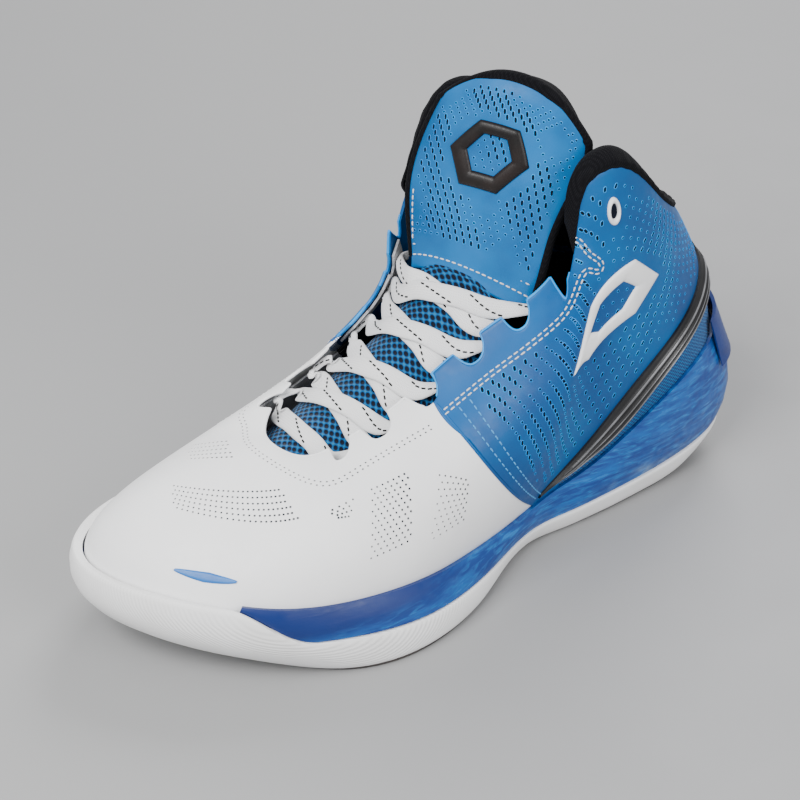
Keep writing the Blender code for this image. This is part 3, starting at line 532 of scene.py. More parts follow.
def knit(name, dark, light, scale, rough=0.85, sheen=0.25, depth=0.25):
    """Knitted textile: two crossing sets of fine ribs."""
    look = Look(name, Sheen_Weight=sheen, Sheen_Roughness=0.4, Specular_IOR_Level=0.16)
    first = look.waves(scale, look.coordinates(turn=(0.4, 0.3, 0.785)), 0.6)
    second = look.waves(scale, look.coordinates(turn=(0.4, -0.3, -0.785)), 0.6)
    weave = look.maths("MULTIPLY", first, second)
    fuzz = look.noise(900, 4)
    look.bump(weave, depth, 0.6)
    look.bump(fuzz, 0.12, 0.3)
    tone = look.mixed(weave, dark, light)
    tone = look.mixed(look.between(fuzz, 0.4, 0.8, 0, 0.35), tone, light)
    return look.done(tone, look.between(fuzz, 0.3, 0.7, rough - 0.08, min(1.0, rough + 0.08)))


def mesh_fabric(name, thread, crest_highlight, hole, pitch, depth):
    """Open mesh of threads round rows of holes, a pitch in mm apart; it follows the UV map in mm."""
    look = Look(name, Sheen_Weight=0.2, Sheen_Roughness=0.4, Specular_IOR_Level=0.3)
    at = look.coordinates("UV", (1 / pitch, 1.35 / pitch, 1), (0, 0, 0.785))
    near = look.cells(1.0, at, 0.12)
    opening = look.between(near, 0.33, 0.43, 1, 0)
    strands = look.waves(6.0, at, 1.5)
    look.bump(near, depth, 0.9)
    look.bump(strands, 0.12, 0.4)
    # lighter on the strand crests away from the openings: a painted highlight; the openings take the hole
    # colour: painted shade
    tone = look.mixed(look.maths("MULTIPLY", strands, look.between(near, 0.4, 0.65)), thread, crest_highlight)
    tone = look.mixed(opening, tone, hole)
    return look.done(tone, look.between(near, 0.3, 0.6, 0.9, 0.55))


def moulded(name, dark, light, rough, scale=60.0, depth=0.06, spec=0.5, coat=0.0):
    """Moulded rubber or plastic: faint flow marks and a fine matt skin."""
    look = Look(name, Specular_IOR_Level=spec, Coat_Weight=coat, Coat_Roughness=0.2)
    flow = look.noise(scale, 4, distort=0.6)
    skin = look.noise(1800, 2)
    look.bump(skin, depth, 0.35)
    tone = look.mixed(look.between(flow, 0.3, 0.7), dark, light)
    return look.done(tone, look.between(skin, 0.3, 0.7, rough - 0.05, rough + 0.07))


WHITE_LEATHER = leather("white_leather", (0.90, 0.90, 0.905), (0.95, 0.95, 0.95), 0.42)
BLUE_LEATHER = leather("blue_leather", (0.0, 0.054, 0.205), (0.0, 0.105, 0.330), 0.46)
TONGUE_LEATHER = leather("tongue_leather", (0.0, 0.075, 0.240), (0.0, 0.150, 0.420), 0.46)
HOLE_EDGE = leather("hole_edge", (0.0, 0.18, 0.60), (0.01, 0.33, 0.78), 0.35)
WHITE_HOLE_EDGE = leather("white_hole_edge", (0.70, 0.70, 0.70), (0.80, 0.80, 0.80), 0.40)
BLACK_KNIT = knit("black_knit", (0.001, 0.001, 0.002), (0.007, 0.007, 0.009), 420, 0.92, 0.02)
GREY_KNIT = knit("grey_knit", (0.35, 0.35, 0.36), (0.60, 0.60, 0.61), 380)
NAVY_KNIT = knit("navy_knit", (0.008, 0.030, 0.130), (0.030, 0.090, 0.300), 320)
# near-black knit for the beds of holes and the eyelet's middle: painted shade standing for the depth of a
# hole
HOLE_SHADE = knit("painted_hole_shade", (0.001, 0.002, 0.006), (0.006, 0.012, 0.030), 500, 0.9, 0.0)
# in both meshes the brighter colour is a painted highlight and the hole colour is painted shade
SPACER = mesh_fabric("spacer_mesh", (0.0, 0.065, 0.22), (0.0, 0.28, 0.60), (0.001, 0.004, 0.014), 3.1, 0.9)
HEEL_MESH = mesh_fabric("heel_mesh", (0.0, 0.10, 0.32), (0.0, 0.24, 0.54), (0.001, 0.04, 0.16), 1.7, 0.35)
BLACK_TPU = moulded("black_tpu", (0.002, 0.002, 0.003), (0.009, 0.009, 0.010), 0.40)
# grey plastic for the crowns of the fins' ridges: a painted highlight on the black plastic
RIDGE_HIGHLIGHT_TPU = moulded("painted_ridge_highlight", (0.10, 0.10, 0.105), (0.20, 0.20, 0.21), 0.34, coat=0.2)
CLIP_BLUE = moulded("clip_blue", (0.0, 0.016, 0.130), (0.0, 0.026, 0.180), 0.42)
WHITE_PLATE = moulded("white_plate", (0.82, 0.82, 0.83), (0.90, 0.90, 0.90), 0.38)
TOE_BLUE = moulded("toe_blue", (0.01, 0.12, 0.42), (0.02, 0.18, 0.52), 0.4)
# the badge's lighter, brownish colour is a painted highlight, spread by the flow noise
BADGE_BLACK = moulded("badge_black", (0.002, 0.002, 0.002), (0.012, 0.007, 0.006), 0.42, spec=0.35)
# near-black rubber for the bottom bevel and the lowest band of the outsole's wall: a painted contact shadow
GROUND_SHADOW_RUBBER = moulded("painted_ground_shadow", (0.035, 0.028, 0.025), (0.070, 0.058, 0.052), 0.6)
FOAM = moulded("foam", (0.62, 0.60, 0.45), (0.78, 0.76, 0.58), 0.95, 300, 0.4, 0.2)
BOARD_FIBRE = moulded("board_fibre", (0.62, 0.58, 0.50), (0.74, 0.71, 0.64), 0.9, 200, 0.2, 0.2)
FELT = moulded("felt", (0.50, 0.48, 0.40), (0.64, 0.62, 0.54), 0.95, 250, 0.3, 0.2)
WHITE_THREAD = knit("white_thread", (0.62, 0.62, 0.62), (0.86, 0.86, 0.86), 1500, 0.6, 0.1, 0.05)
BLUE_THREAD = knit("blue_thread", (0.05, 0.26, 0.60), (0.12, 0.42, 0.78), 1500, 0.6, 0.1, 0.05)
LACE_DASH = knit("lace_dash", (0.004, 0.004, 0.004), (0.02, 0.02, 0.02), 1500, 0.8, 0.1, 0.05)


def rubber_look():
    """White sidewall rubber with a fine slanting hatch along the forefoot."""
    look = Look("white_rubber", Specular_IOR_Level=0.4)
    hatch = look.waves(330, look.coordinates(turn=(0.9, 0, 0.5)))
    forefoot = look.between(look.axis(1), -0.02, 0.03, 1, 0)
    look.bump(look.maths("MULTIPLY", hatch, forefoot), 0.25, 0.5)
    look.bump(look.noise(1500, 2), 0.05, 0.3)
    tone = look.mixed(look.between(look.noise(30, 4), 0.3, 0.7), (0.86, 0.855, 0.845), (0.93, 0.93, 0.93))
    return look.done(tone, look.between(look.noise(400, 3), 0.3, 0.7, 0.42, 0.56))


def tread_look():
    """Dark underside with a herringbone tread."""
    look = Look("tread", Specular_IOR_Level=0.4)
    zigzag = look.maths("PINGPONG", look.axis(0), 0.006)
    ribs = look.maths("SINE", look.maths("MULTIPLY", look.maths("ADD", look.axis(1), zigzag), 1400.0))
    look.bump(look.between(ribs, -0.5, 0.5), 1.2, 0.8)
    # the grooves of the herringbone are coloured darker: painted shade in the grooves
    tone = look.mixed(look.between(ribs, -0.6, 0.2), (0.40, 0.40, 0.40), (0.74, 0.74, 0.73))
    return look.done(tone, look.between(look.noise(600, 3), 0.3, 0.7, 0.5, 0.7))


def midsole_look():
    """Blue foam: plain and dark along the forefoot, streaked with light blue from the waist back."""
    look = Look("blue_foam", Specular_IOR_Level=0.45, Coat_Weight=0.1, Coat_Roughness=0.3)
    slanted = look.coordinates(scale=(26, 34, 190), turn=(0.55, 0.0, 0.0))
    streaks = look.between(look.noise(1.0, 6, slanted, 1.2), 0.38, 0.72)
    fine = look.between(look.noise(3.2, 6, slanted, 0.8), 0.45, 0.75)
    blotches = look.between(look.noise(34, 3), 0.62, 0.78)
    rear = look.between(look.axis(1), -0.045, 0.010)
    low = look.between(look.axis(2), 0.018, 0.027, 0.8, 0)
    marbled = look.mixed(streaks, (0.0, 0.040, 0.230), (0.0, 0.110, 0.420))
    marbled = look.mixed(look.maths("MULTIPLY", fine, 0.75), marbled, (0.01, 0.22, 0.62))
    marbled = look.mixed(look.maths("MULTIPLY", blotches, 0.55), marbled, (0.30, 0.52, 0.82))
    plain = look.mixed(look.between(look.noise(24, 2), 0.3, 0.7), (0.0, 0.014, 0.120), (0.0, 0.020, 0.150))
    shown = look.mixed(look.maths("MAXIMUM", rear, low), plain, marbled)
    look.bump(streaks, 0.18, 0.3)
    look.bump(look.noise(1400, 2), 0.05, 0.3)
    return look.done(shown, look.between(look.noise(300, 3), 0.3, 0.7, 0.36, 0.52))


def lace_look():
    """Flat white lace in a close slanting weave, following the UV map in mm."""
    look = Look("lace_weave", Sheen_Weight=0.15, Sheen_Roughness=0.5, Specular_IOR_Level=0.25)
    first = look.waves(0.55, look.coordinates("UV", turn=(0, 0, 0.62)))
    second = look.waves(0.55, look.coordinates("UV", turn=(0, 0, -0.62)))
    weave = look.maths("MAXIMUM", first, second)
    look.bump(weave, 0.22, 0.7)
    look.bump(look.noise(1600, 3), 0.08, 0.3)
    tone = look.mixed(look.between(weave, 0.2, 0.9), (0.70, 0.70, 0.71), (0.92, 0.92, 0.92))
    return look.done(tone, look.between(look.noise(500, 2), 0.3, 0.7, 0.72, 0.9))


def floor_look():
    look = Look("floor_paper", Specular_IOR_Level=0.3)
    look.bump(look.noise(300, 3), 0.05, 0.2)
    tone = look.mixed(look.between(look.noise(0.8, 2), 0.3, 0.7), (0.30, 0.30, 0.305), (0.33, 0.33, 0.33))
    return look.done(tone, look.between(look.noise(20, 2), 0.3, 0.7, 0.55, 0.65))


RUBBER = rubber_look()
TREAD_LOOK = tread_look()
MIDSOLE_BLUE = midsole_look()
LACE_LOOK = lace_look()
FLOOR = floor_look()


# ---------------------------------------------------------------- placing pieces
def metres(points):
    return (np.asarray(points, float) + SHIFT) * MM


def make(name, points, faces, looks, body="shoe", uv=None, slots=None, sharp=0.8, soft=None,
         stands_for=None, slot=None):
    """One piece in the shoe's axes, facing out, riding on a body of the frame.

    It stands for one CAD node; slot is not used; soft is not used.
    """
    points = metres(points)
    if volume(points, faces) < 0:
        faces = [tuple(reversed(face)) for face in faces]
    mesh = bpy.data.meshes.new(name)
    mesh.from_pydata([tuple(p) for p in points], [], [tuple(map(int, face)) for face in faces])
    for look in looks if isinstance(looks, list) else [looks]:
        mesh.materials.append(look)
    if slots is not None:
        mesh.polygons.foreach_set("material_index", slots)
    if uv is not None:
        corner = np.array([loop.vertex_index for loop in mesh.loops])
        mesh.uv_layers.new(name="UVMap").data.foreach_set("uv", np.asarray(uv)[corner].ravel())
    mesh.shade_smooth()
    mesh.set_sharp_from_angle(angle=sharp)
    made = bpy.data.objects.new(name, mesh)
    bpy.context.scene.collection.objects.link(made)
    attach(made, body)
    if stands_for:
        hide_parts(stands_for)


def arc_map(grid):
    """Distances along a grid of points, in mm, as a UV map for both of a sheet's faces."""
    first = np.cumsum(np.linalg.norm(np.diff(grid, axis=0, prepend=grid[:1]), axis=-1), 0)
    second = np.cumsum(np.linalg.norm(np.diff(grid, axis=1, prepend=grid[:, :1]), axis=-1), 1)
    first = np.broadcast_to(first.mean(1, keepdims=True), second.shape)
    flat = np.stack([first, second], -1).reshape(-1, 2)
    return np.concatenate([flat, flat])


def shell(name, outside, inside, looks, body="shoe", ring=False, **more):
    make(name, *sheet(outside, inside, ring), looks, body, uv=arc_map(outside), **more)


def tube(count, sides, start=0):
    """The faces of a tube through rings of points, with its two ends closed."""
    last = start + (count - 1) * sides
    faces = [tuple(start + i for i in range(sides))[::-1], tuple(last + i for i in range(sides))]
    for k in range(start, last, sides):
        for i in range(sides):
            j = (i + 1) % sides
            faces.append((k + i, k + j, k + sides + j, k + sides + i))
    return faces


def finer(values, times):
    """Splits every step of a list of stations into equal parts."""
    values = np.asarray(values, float)
    at = np.linspace(0, len(values) - 1, (len(values) - 1) * times + 1)
    return np.interp(at, np.arange(len(values)), values)


def eased(count):
    """Shares from 0 to 1 with two extra rows close to each end, where an edge rolls over."""
    inner = np.linspace(0, 1, count)
    return np.concatenate([[0, 0.004, 0.012], inner[1:-1], [0.988, 0.996, 1]])


def rolled(rows, cols, depth=0.5):
    """How far the outside of a panel drops at its edges, for grids made with eased()."""
    def edge(count):
        line = np.zeros(count)
        line[[0, -1]] = depth
        line[[1, -2]] = depth * 0.3
        return line
    return -np.maximum(edge(rows)[:, None], edge(cols)[None, :])


def bead(name, path, radius, look, body="shoe", sides=8):
    """A thin round welt along a line of points."""
    path = np.asarray(path, float)
    ahead = unit(np.gradient(path, axis=0))
    side = unit(np.cross(ahead, np.array([0.31, 0.17, 0.94])))
    rise = np.cross(side, ahead)
    turn = np.arange(sides) / sides * 2 * np.pi
    girth = np.full(len(path), radius)
    girth[[0, -1]] = radius * 0.35
    rings = (path[:, None] + (side[:, None] * np.cos(turn)[None, :, None]
             + rise[:, None] * np.sin(turn)[None, :, None]) * girth[:, None, None])
    make(name, rings.reshape(-1, 3), tube(len(path), sides), look, body)


def even(path, normals, pitch):
    """Points, directions and normals at an even pitch along a line of points."""
    path = np.asarray(path, float)
    normals = np.asarray(normals, float)
    reach = np.concatenate([[0], np.cumsum(np.linalg.norm(np.diff(path, axis=0), axis=1))])
    at = np.arange(pitch / 2, reach[-1], pitch)
    pick = np.stack([np.interp(at, reach, path[:, k]) for k in range(3)], -1)
    beyond = np.stack([np.interp(at + 0.2, reach, path[:, k]) for k in range(3)], -1)
    before = np.stack([np.interp(at - 0.2, reach, path[:, k]) for k in range(3)], -1)
    facing = unit(np.stack([np.interp(at, reach, normals[:, k]) for k in range(3)], -1))
    return pick, unit(beyond - before), facing


def stitches(name, lines, look, body="shoe", length=2.1, pitch=3.0, thick=0.42):
    """Separate rounded stitches along lines of (points, normals)."""
    points = []
    faces = []
    shape = [(-0.5, 0.35), (-0.36, 0.9), (0.0, 1.0), (0.36, 0.9), (0.5, 0.35)]
    turn = np.arange(6) / 6 * 2 * np.pi
    for path, normals in lines:
        for middle, ahead, facing in zip(*even(path, normals, pitch)):
            side = np.cross(ahead, facing)
            start = len(points)
            for along, fat in shape:
                sink = -0.35 * abs(along) * 2 * thick
                for angle in turn:
                    points.append(middle + ahead * along * length + side * np.cos(angle) * thick * fat * 0.8
                                  + facing * (np.sin(angle) * thick * fat * 0.6 + sink + 0.12))
            faces += tube(len(shape), 6, start)
    make(name, points, faces, look, body)


def rounded(rings, sides, middle, ahead, facing, length, width):
    """Rings of a rounded slot: each is (extra half width, height), around a middle."""
    side = np.cross(facing, ahead)
    straight = (length - width) / 2
    points = []
    for radius, height in rings:
        for angle in np.arange(sides) / sides * 2 * np.pi:
            lean = np.cos(angle)
            points.append(middle + ahead * (lean * radius + np.sign(np.round(lean, 6)) * straight)
                          + side * np.sin(angle) * radius + facing * height)
    return points


def punched(name, holes, edge_look, body="shoe", rim=0.28):
    """Punched holes, each a dark bed of painted shade in a low raised rim: middle, long way, normal, length,
    width.
    """
    points = []
    faces = []
    slots = []
    for hole in holes:
        half = hole[4] / 2
        start = len(points)
        outline = [(half + rim, 0.0), (half + rim * 0.25, 0.16), (half - 0.02, 0.05), (half / 2, 0.03)]
        points += rounded(outline, 12, *hole)
        faces += tube(4, 12, start)
        slots += [0, 1] + [0] * 24 + [1] * 12
    make(name, points, faces, [edge_look, HOLE_SHADE], body, slots=slots)


def flat_marks(name, marks, look, body="shoe"):
    """Thin raised dashes: each mark is middle, long way, normal, length, width."""
    points = []
    faces = []
    for mark in marks:
        half = mark[4] / 2
        faces += tube(3, 10, len(points))
        points += rounded([(half, -0.1), (half, 0.03), (half / 1.5, 0.10)], 10, *mark)
    make(name, points, faces, look, body)


def both(w, side):
    return w if side > 0 else STATIONS - w


# ---------------------------------------------------------------- sole
def fine_sole():
    half = finer(HALF_COLUMNS, 5)
    w = np.concatenate([half, (STATIONS - half[1:-1])[::-1]])
    edge = wall_at(w, out_height(w))
    wrap = toe_wrap(w)
    ground = ground_edge(w)
    tread_top = ground[:, 2] + TREAD
    foot = wall_at(w, tread_top)

    def loop(u, inward):
        return wall(w, u, inward)
    plate = loop(foot, RIM)
    plate[:, 2] = tread_top
    fill = smooth_step(w, 10.0, 10.4) * (1 - smooth_step(w, 11.6, 12.0))
    loops = [inset(ground, 2.0), ground, loop(edge * 0.04, 0), loop(edge * 0.10, 0),
             loop(edge * 0.13, -0.35)]
    loops += [loop(edge * share, -0.35) for share in (0.25, 0.4, 0.55, 0.7, 0.85)]
    loops += [loop(edge * 0.95, -0.30), loop(edge * 0.99, -0.05), loop(edge, 0.4),
              loop(edge, rim_top_depth(w) + 1.1 * fill), loop(edge * 0.72, RIM),
              loop(edge * 0.5, RIM), plate]
    points, faces = stack(loops)
    ring = len(w)
    # slot 1, the bottom bevel and the lowest band of the wall, is a painted contact shadow along the ground
    slots = [1 if k < 3 * ring else 0 for k in range(len(faces))]
    bottom_caps = (len(faces) - (len(loops) - 1) * ring) // 2
    for k in range((len(loops) - 1) * ring, (len(loops) - 1) * ring + bottom_caps):
        slots[k] = 2
    make("outsole_rubber", points, faces, [RUBBER, GROUND_SHADOW_RUBBER, TREAD_LOOK], slots=slots,
         stands_for="outsole", slot="white_rubber")

    # the foam, from the rim of the cup up to the upper; its wall swells a little
    rim_inside = rim_top_depth(w) + GAP
    toe = wrap > 0.97
    proud = 0.55 + (rim_inside - 0.55) * smooth_step(wrap, 0.2, 0.8)
    base = loop(foot, RIM + GAP)
    base[:, 2] = tread_top + GAP + (SHANK + 2 * GAP) * (
        smooth_step(base[:, 1], -32, -22) * (1 - smooth_step(base[:, 1], 62, 72)))
    crest = np.where(toe, edge * 0.72, 1.0)
    crest_loop = loop(crest, np.where(toe, RIM + GAP, proud))
    low_loop = loop(edge * 0.5, RIM + GAP)
    start = np.minimum(edge + 0.004, 0.98)
    loops = [base, low_loop]
    heights = (0.0, 0.01, 0.04, 0.2, 0.4, 0.6, 0.8, 0.93, 0.98)
    for number, share in enumerate(heights):
        swell = 0.5 * np.sin(np.pi * share)
        depth = rim_inside * (1 - min(1, number / 2)) + (proud - swell) * min(1, number / 2)
        hidden_line = low_loop + (crest_loop - low_loop) * (number + 1) / (len(heights) + 1)
        loops.append(np.where(toe[:, None], hidden_line, loop(start + (crest - start) * share, depth)))
    rest_level = level(w, np.minimum(mid_height(w), crest_loop[:, 2]) - 0.3)
    loops.append(crest_loop)
    for share in (1.0, 0.78, 0.54, 0.28, 0.0):
        loops.append(upper(w, rest_level * share, CUP_GAP if share < 1 else 0.1))
    loops[-1][:, 2] -= 0.6
    make("midsole_foam", *stack(loops), MIDSOLE_BLUE,
         stands_for="midsole", slot="blue_foam")

    feather = FEATHER(w)
    rim = inset(feather, -LINING_IN + 1.3)
    low = rim + np.array([0, 0, BOARD + GAP])
    rings = [inset(low, 0.8), inset(low, 0.4) + (0, 0, 0.8), inset(low, 0.3) + (0, 0, SOCK - 0.9),
             inset(low, 0.7) + (0, 0, SOCK - 0.2), inset(low, 1.6) + (0, 0, SOCK),
             inset(low, 8.0) + (0, 0, SOCK - 0.6), inset(low, 14.0) + (0, 0, SOCK - 0.9)]
    make("sockliner_pad", *stack(rings), NAVY_KNIT, "sockliner_body", soft=0.9,
         stands_for="sockliner", slot="navy_knit")


# ---------------------------------------------------------------- upper
SEAM_GAP = 0.02
SEAM_TOP = 7.78
QUARTER_TOP = [0.06, 0.5, 1, 1.5, 2, 2.5, 3, 3.4, 3.8, 4.2, 4.6, 5, 5.3, 5.5]
TOE_COLUMNS = [9.55, 9.8, 10, 10.2, 10.4, 10.6, 10.8, 11]
QUARTER_LIFT = 0.55      # the quarter's panel lies on the vamp's edge


def notch_stations(notches):
    made = []
    for station, half, _ in notches:
        made += [station - half, station - 0.85 * half, station, station + 0.85 * half, station + half]
    return made


def quarter_edge(w):
    """The quarter's upper edge: straight from the collar's binding into the top notch."""
    inside = (w > 5.5) & (w < NOTCHES[0][0])
    return np.where(inside, np.minimum(throat_edge(w), 0.902), throat_edge(w))


def topped(v, top):
    """Stretches the upper rows of a grid so that the last one follows the throat's notches."""
    start = 0.62
    share = np.clip((v - start) / (v[:, -1:] - start), 0, 1)
    return np.where(v > start, start + share * (top - start), v)


def fine_vamp():
    head = finer([SEAM_TOP + SEAM_GAP, 7.88, 7.97] + notch_stations(NOTCHES[4:]) + TOE_COLUMNS, 4)
    w, v = band(mirrored(head), 0.0, 1.0, eased(44))
    for j in range(w.shape[1]):
        edge = seam(v[0, j]) - 0.12
        w[:, j] = stretched(w[:, j], TOE_COLUMNS[0], head[0], edge)
        w[:, j] = stretched(w[:, j], STATIONS - TOE_COLUMNS[0], STATIONS - head[0], STATIONS - edge)
    v = topped(v, throat_edge(w[:, -1:]))
    drop = rolled(*w.shape)
    shell("vamp_skin", upper(w, v, drop), upper(w, v, -PANEL), WHITE_LEATHER,
          stands_for="vamp_panel", slot="white_synthetic")
    shell("vamp_lining_cloth", upper(w[:, :34], v[:, :34], LINING_OUT),
          upper(w[:, :34], v[:, :34], LINING_IN), GREY_KNIT,
          stands_for="vamp_lining", slot="grey_textile")


def fine_quarter(side, name):
    end = SEAM_TOP - SEAM_GAP
    head = finer(QUARTER_TOP + [5.66] + notch_stations(NOTCHES[:3]) + [7.58, 7.68, end], 4)
    head = np.concatenate([head[:-1], [end - 0.012, end - 0.004, end]])
    w, v = band(head, lambda w: fin_line(stretched(w, 3.4, end, seam(0) - SEAM_GAP)),
                lambda w: 0.955 + 0.045 * smooth_step(w, 4.6, 6.2), eased(40))
    for j in range(w.shape[1]):
        w[:, j] = stretched(w[:, j], 3.4, end, min(seam(v[-1, j]) - SEAM_GAP, end))
    v = topped(v, quarter_edge(w[:, -1:]))
    drop = rolled(*w.shape, 0.75)
    shell(name + "_quarter_skin", upper(both(w, side), v, QUARTER_LIFT + drop),
          upper(both(w, side), v, -PANEL), BLUE_LEATHER,
          stands_for=name + "_quarter", slot="blue_synthetic")


def fine_heel():
    columns = round_heel(finer(HALF_COLUMNS[:12] + [4.4, 5.3], 3))
    w, v = band(columns, 0.0, lambda w: fin_line(w) + 0.01, eased(20))
    shell("heel_mesh_panel", upper(w, v, -0.1), upper(w, v, -PANEL), HEEL_MESH,
          stands_for="heel_panel", slot="cyan_mesh")
    w, v = band(round_heel(finer(HALF_COLUMNS[:17], 2)), 0.0,
                lambda w: 0.50 + 0.24 * smooth_step(np.abs(w), 5.2, 6.4), np.linspace(0, 1, 24))
    for j in range(w.shape[1]):
        edge = seam(v[-1, j]) - SEAM_GAP
        w[:, j] = stretched(w[:, j], 3.5, w[-1, j], edge)
        w[:, j] = stretched(w[:, j], -3.5, w[0, j], -edge)
    shell("quarter_lining_cloth", upper(w, v, LINING_OUT), upper(w, v, LINING_IN), BLACK_KNIT,
          stands_for="quarter_lining", slot="black_textile")


# the padded collar in section, from the front edge of its binding over the top and down inside
COLLAR_FRONT = [(0.85, 0.0), (0.40, 0.3)]
COLLAR_INSIDE = [(1.0, 2.0), (1.004, 4.6), (0.985, 7.2), (0.92, 8.6), (0.80, 8.6), (0.67, 7.2), (0.54, 4.9)]


def collar_depth(w, depth):
    least = 2.2
    thin = 1 - 0.75 * smooth_step(np.abs(w), 4.3, 5.2)
    return np.where(depth > least, least + (depth - least) * thin, depth)


def fine_collar():
    """The collar's binding and lining: a full soft roll, a little puckered along its length."""
    columns = round_heel(finer([0] + QUARTER_TOP[1:-1] + [5.42], 8))
    lines = []
    for share, depth in [(1.12, -0.2)] + COLLAR_FRONT:
        lines.append(np.stack([1 - share * (1 - collar_edge(columns)), np.full_like(columns, depth)], -1))
    for v, depth in COLLAR_INSIDE:
        lines.append(np.stack([np.full_like(columns, v), collar_depth(columns, depth)], -1))
    section = open_spline(np.stack(lines, 0).reshape(len(lines), -1))
    at = np.linspace(0, len(lines) - 1, 60)
    made = section(at).reshape(len(at), len(columns), 2)
    swell = 1.5 * np.exp(-((at - 1.2) / 0.9)**2)[:, None]
    pucker = 0.16 * np.sin(columns * 23)[None, :] * np.exp(-((at - 1.5) / 1.8)**2)[:, None]
    outer = upper(columns[None, :], made[..., 0], -made[..., 1] + swell + pucker).transpose(1, 0, 2)
    depth = -made[..., 1] - 0.3 + 0.2 * swell
    inner = upper(columns[None, :], made[..., 0] * 0.985, depth).transpose(1, 0, 2)
    shell("collar_roll", outer, inner, BLACK_KNIT, soft=0.85, sharp=3.0,
          stands_for="collar_lining", slot="black_textile")


# ---------------------------------------------------------------- trim
FIN_FRONT = open_spline([(0.32, 0.745), (1.0, 0.68), (1.83, 0.57), (2.83, 0.43), (3.65, 0.31),
                         (4.45, 0.19), (5.40, 0.105)])
FIN_REAR = open_spline([(0.32, 0.62), (1.2, 0.545), (1.98, 0.45), (2.95, 0.30), (3.75, 0.165),
                        (4.55, 0.12), (5.40, 0.09)])
FIN_RIDGES = (0.24, 0.50, 0.76)


def fine_trim():
    along = np.linspace(0, 6, 90)
    share = np.linspace(0, 1, 41)
    wv = (FIN_FRONT(along)[:, None] * (1 - share[None, :, None])
          + FIN_REAR(along)[:, None] * share[None, :, None])
    ridge = sum(np.exp(-((share - centre) / 0.055)**2) for centre in FIN_RIDGES)
    ends = (smooth_step(along, 0.0, 0.9) * (1 - smooth_step(along, 5.0, 6.0)))[:, None]
    body_height = 1.9 * np.sin(np.pi * np.clip(share, 0.02, 0.98))[None, :]**0.35
    height = 0.9 + body_height * (0.35 + 0.65 * ends) + 1.0 * ridge[None, :] * ends
    for side, name in ((1, "lateral"), (-1, "medial")):
        w = both(wv[..., 0], side)
        outside = upper(w, wv[..., 1], height)
        points, faces = sheet(outside, upper(w, wv[..., 1], 0.2))
        # the crowns of the ridges take the grey plastic: a painted highlight
        crown = (ridge[None, :] * ends).ravel()
        crown = np.concatenate([crown, np.zeros(outside.shape[0] * outside.shape[1])])
        slots = [1 if min(crown[i] for i in face) > 0.45 else 0 for face in faces]
        make(name + "_fin_ridged", points, faces, [BLACK_TPU, RIDGE_HIGHLIGHT_TPU], slots=slots,
             stands_for=name + "_fin", slot="black_plate")

    w, v = np.meshgrid(np.linspace(-0.26, 0.26, 21), eased(50), indexing="ij")
    v = 0.40 + 0.555 * v
    w = w * (1 - 0.62 * smooth_step(v, 0.70, 0.86))
    crown = 1.5 + 0.3 * np.cos(w / 0.26 * np.pi / 2)
    shell("heel_strip", upper(w, v, crown), upper(w, v, GAP), BLACK_KNIT,
          stands_for="heel_backstay", slot="black_textile")

    columns = round_heel(finer([0, 0.25, 0.5, 0.75, 1, 1.33], 5))
    w, q = np.meshgrid(columns, np.linspace(0, 1, 30), indexing="ij")
    top_z = mid_height(w)
    q = q[..., None]
    face = ((1 - q)**2 * wall(w, 0.80) + 2 * q * (1 - q) * upper(w, level(w, top_z), 2.2)
            + q * q * upper(w, level(w, top_z + 9), 1.2))
    outward = unit(wall(w, 0.9, -1.0) - wall(w, 0.9))
    crown = (2.5 + 0.4 * np.sin(np.pi * q) - 1.2 * (np.abs(w[..., None]) / 1.33)**8)
    shell("heel_clip_moulding", face + outward * crown, face + outward * 0.9, CLIP_BLUE,
          stands_for="heel_clip", slot="blue_plate")

    for side, name in ((1, "lateral"), (-1, "medial")):
        turn = np.arange(48) / 48 * 2 * np.pi
        section = [(1.0, 0.4), (1.0, 1.0), (0.93, 1.6), (0.80, 1.85), (0.66, 1.6), (0.58, 1.0), (0.56, 0.6)]
        rings = []
        for radius, height in section:
            w = both(4.05 + 0.165 * radius * np.cos(turn), side)
            rings.append(upper(w, 0.84 + 0.036 * radius * np.sin(turn), height))
        points, faces = stack(rings)
        # the ring's closed middle takes the near-black knit: painted shade in the eyelet's hole
        slots = [0] * (len(section) - 1) * 48 + [1] * (len(faces) - (len(section) - 1) * 48)
        make(name + "_eyelet_ring", points, faces, [WHITE_PLATE, HOLE_SHADE], slots=slots,
             stands_for=name + "_ankle_eyelet", slot="white_plate")
        x, y = hexagon(96, 0.5, [0, 0.06, 0.2, 0.5, 0.8, 0.94, 1.0])
        heights = np.array([0.6, 1.2, 1.5, 1.6, 1.5, 1.2, 0.6])
        w = both(4.15 - 1.35 * x, side)
        v = 0.60 + 0.075 * x + 0.085 * y
        shell(name + "_mark_plate", upper(w, v, heights[None, :]), upper(w, v, GAP), WHITE_PLATE, ring=True,
              stands_for=name + "_side_mark", slot="white_plate")
    s, c = np.meshgrid(np.linspace(-1, 1, 40), np.linspace(-1, 1, 9), indexing="ij")
    v = 0.36 + c * 0.022 * (1.05 - np.abs(s))**0.5
    crown = 0.35 + 0.4 * (1 - np.abs(c)**6)
    shell("toe_plate", upper(10.15 + 0.22 * s, v, crown), upper(10.15 + 0.22 * s, v, 0.0), TOE_BLUE,
          stands_for="toe_mark", slot="blue_plate")


# ---------------------------------------------------------------- tongue
BADGE = (-0.05, 5.62)
TONGUE_DROP = 0.55       # the top corners of the tongue are rounded


def tongue_grid(t_low, t_high, columns, rows):
    s, r = np.meshgrid(np.linspace(-1, 1, columns), rows, indexing="ij")
    top = t_high - (TONGUE_DROP * np.abs(s)**3 if t_high > FOLD_T else 0)
    return s, t_low + (top - t_low) * r


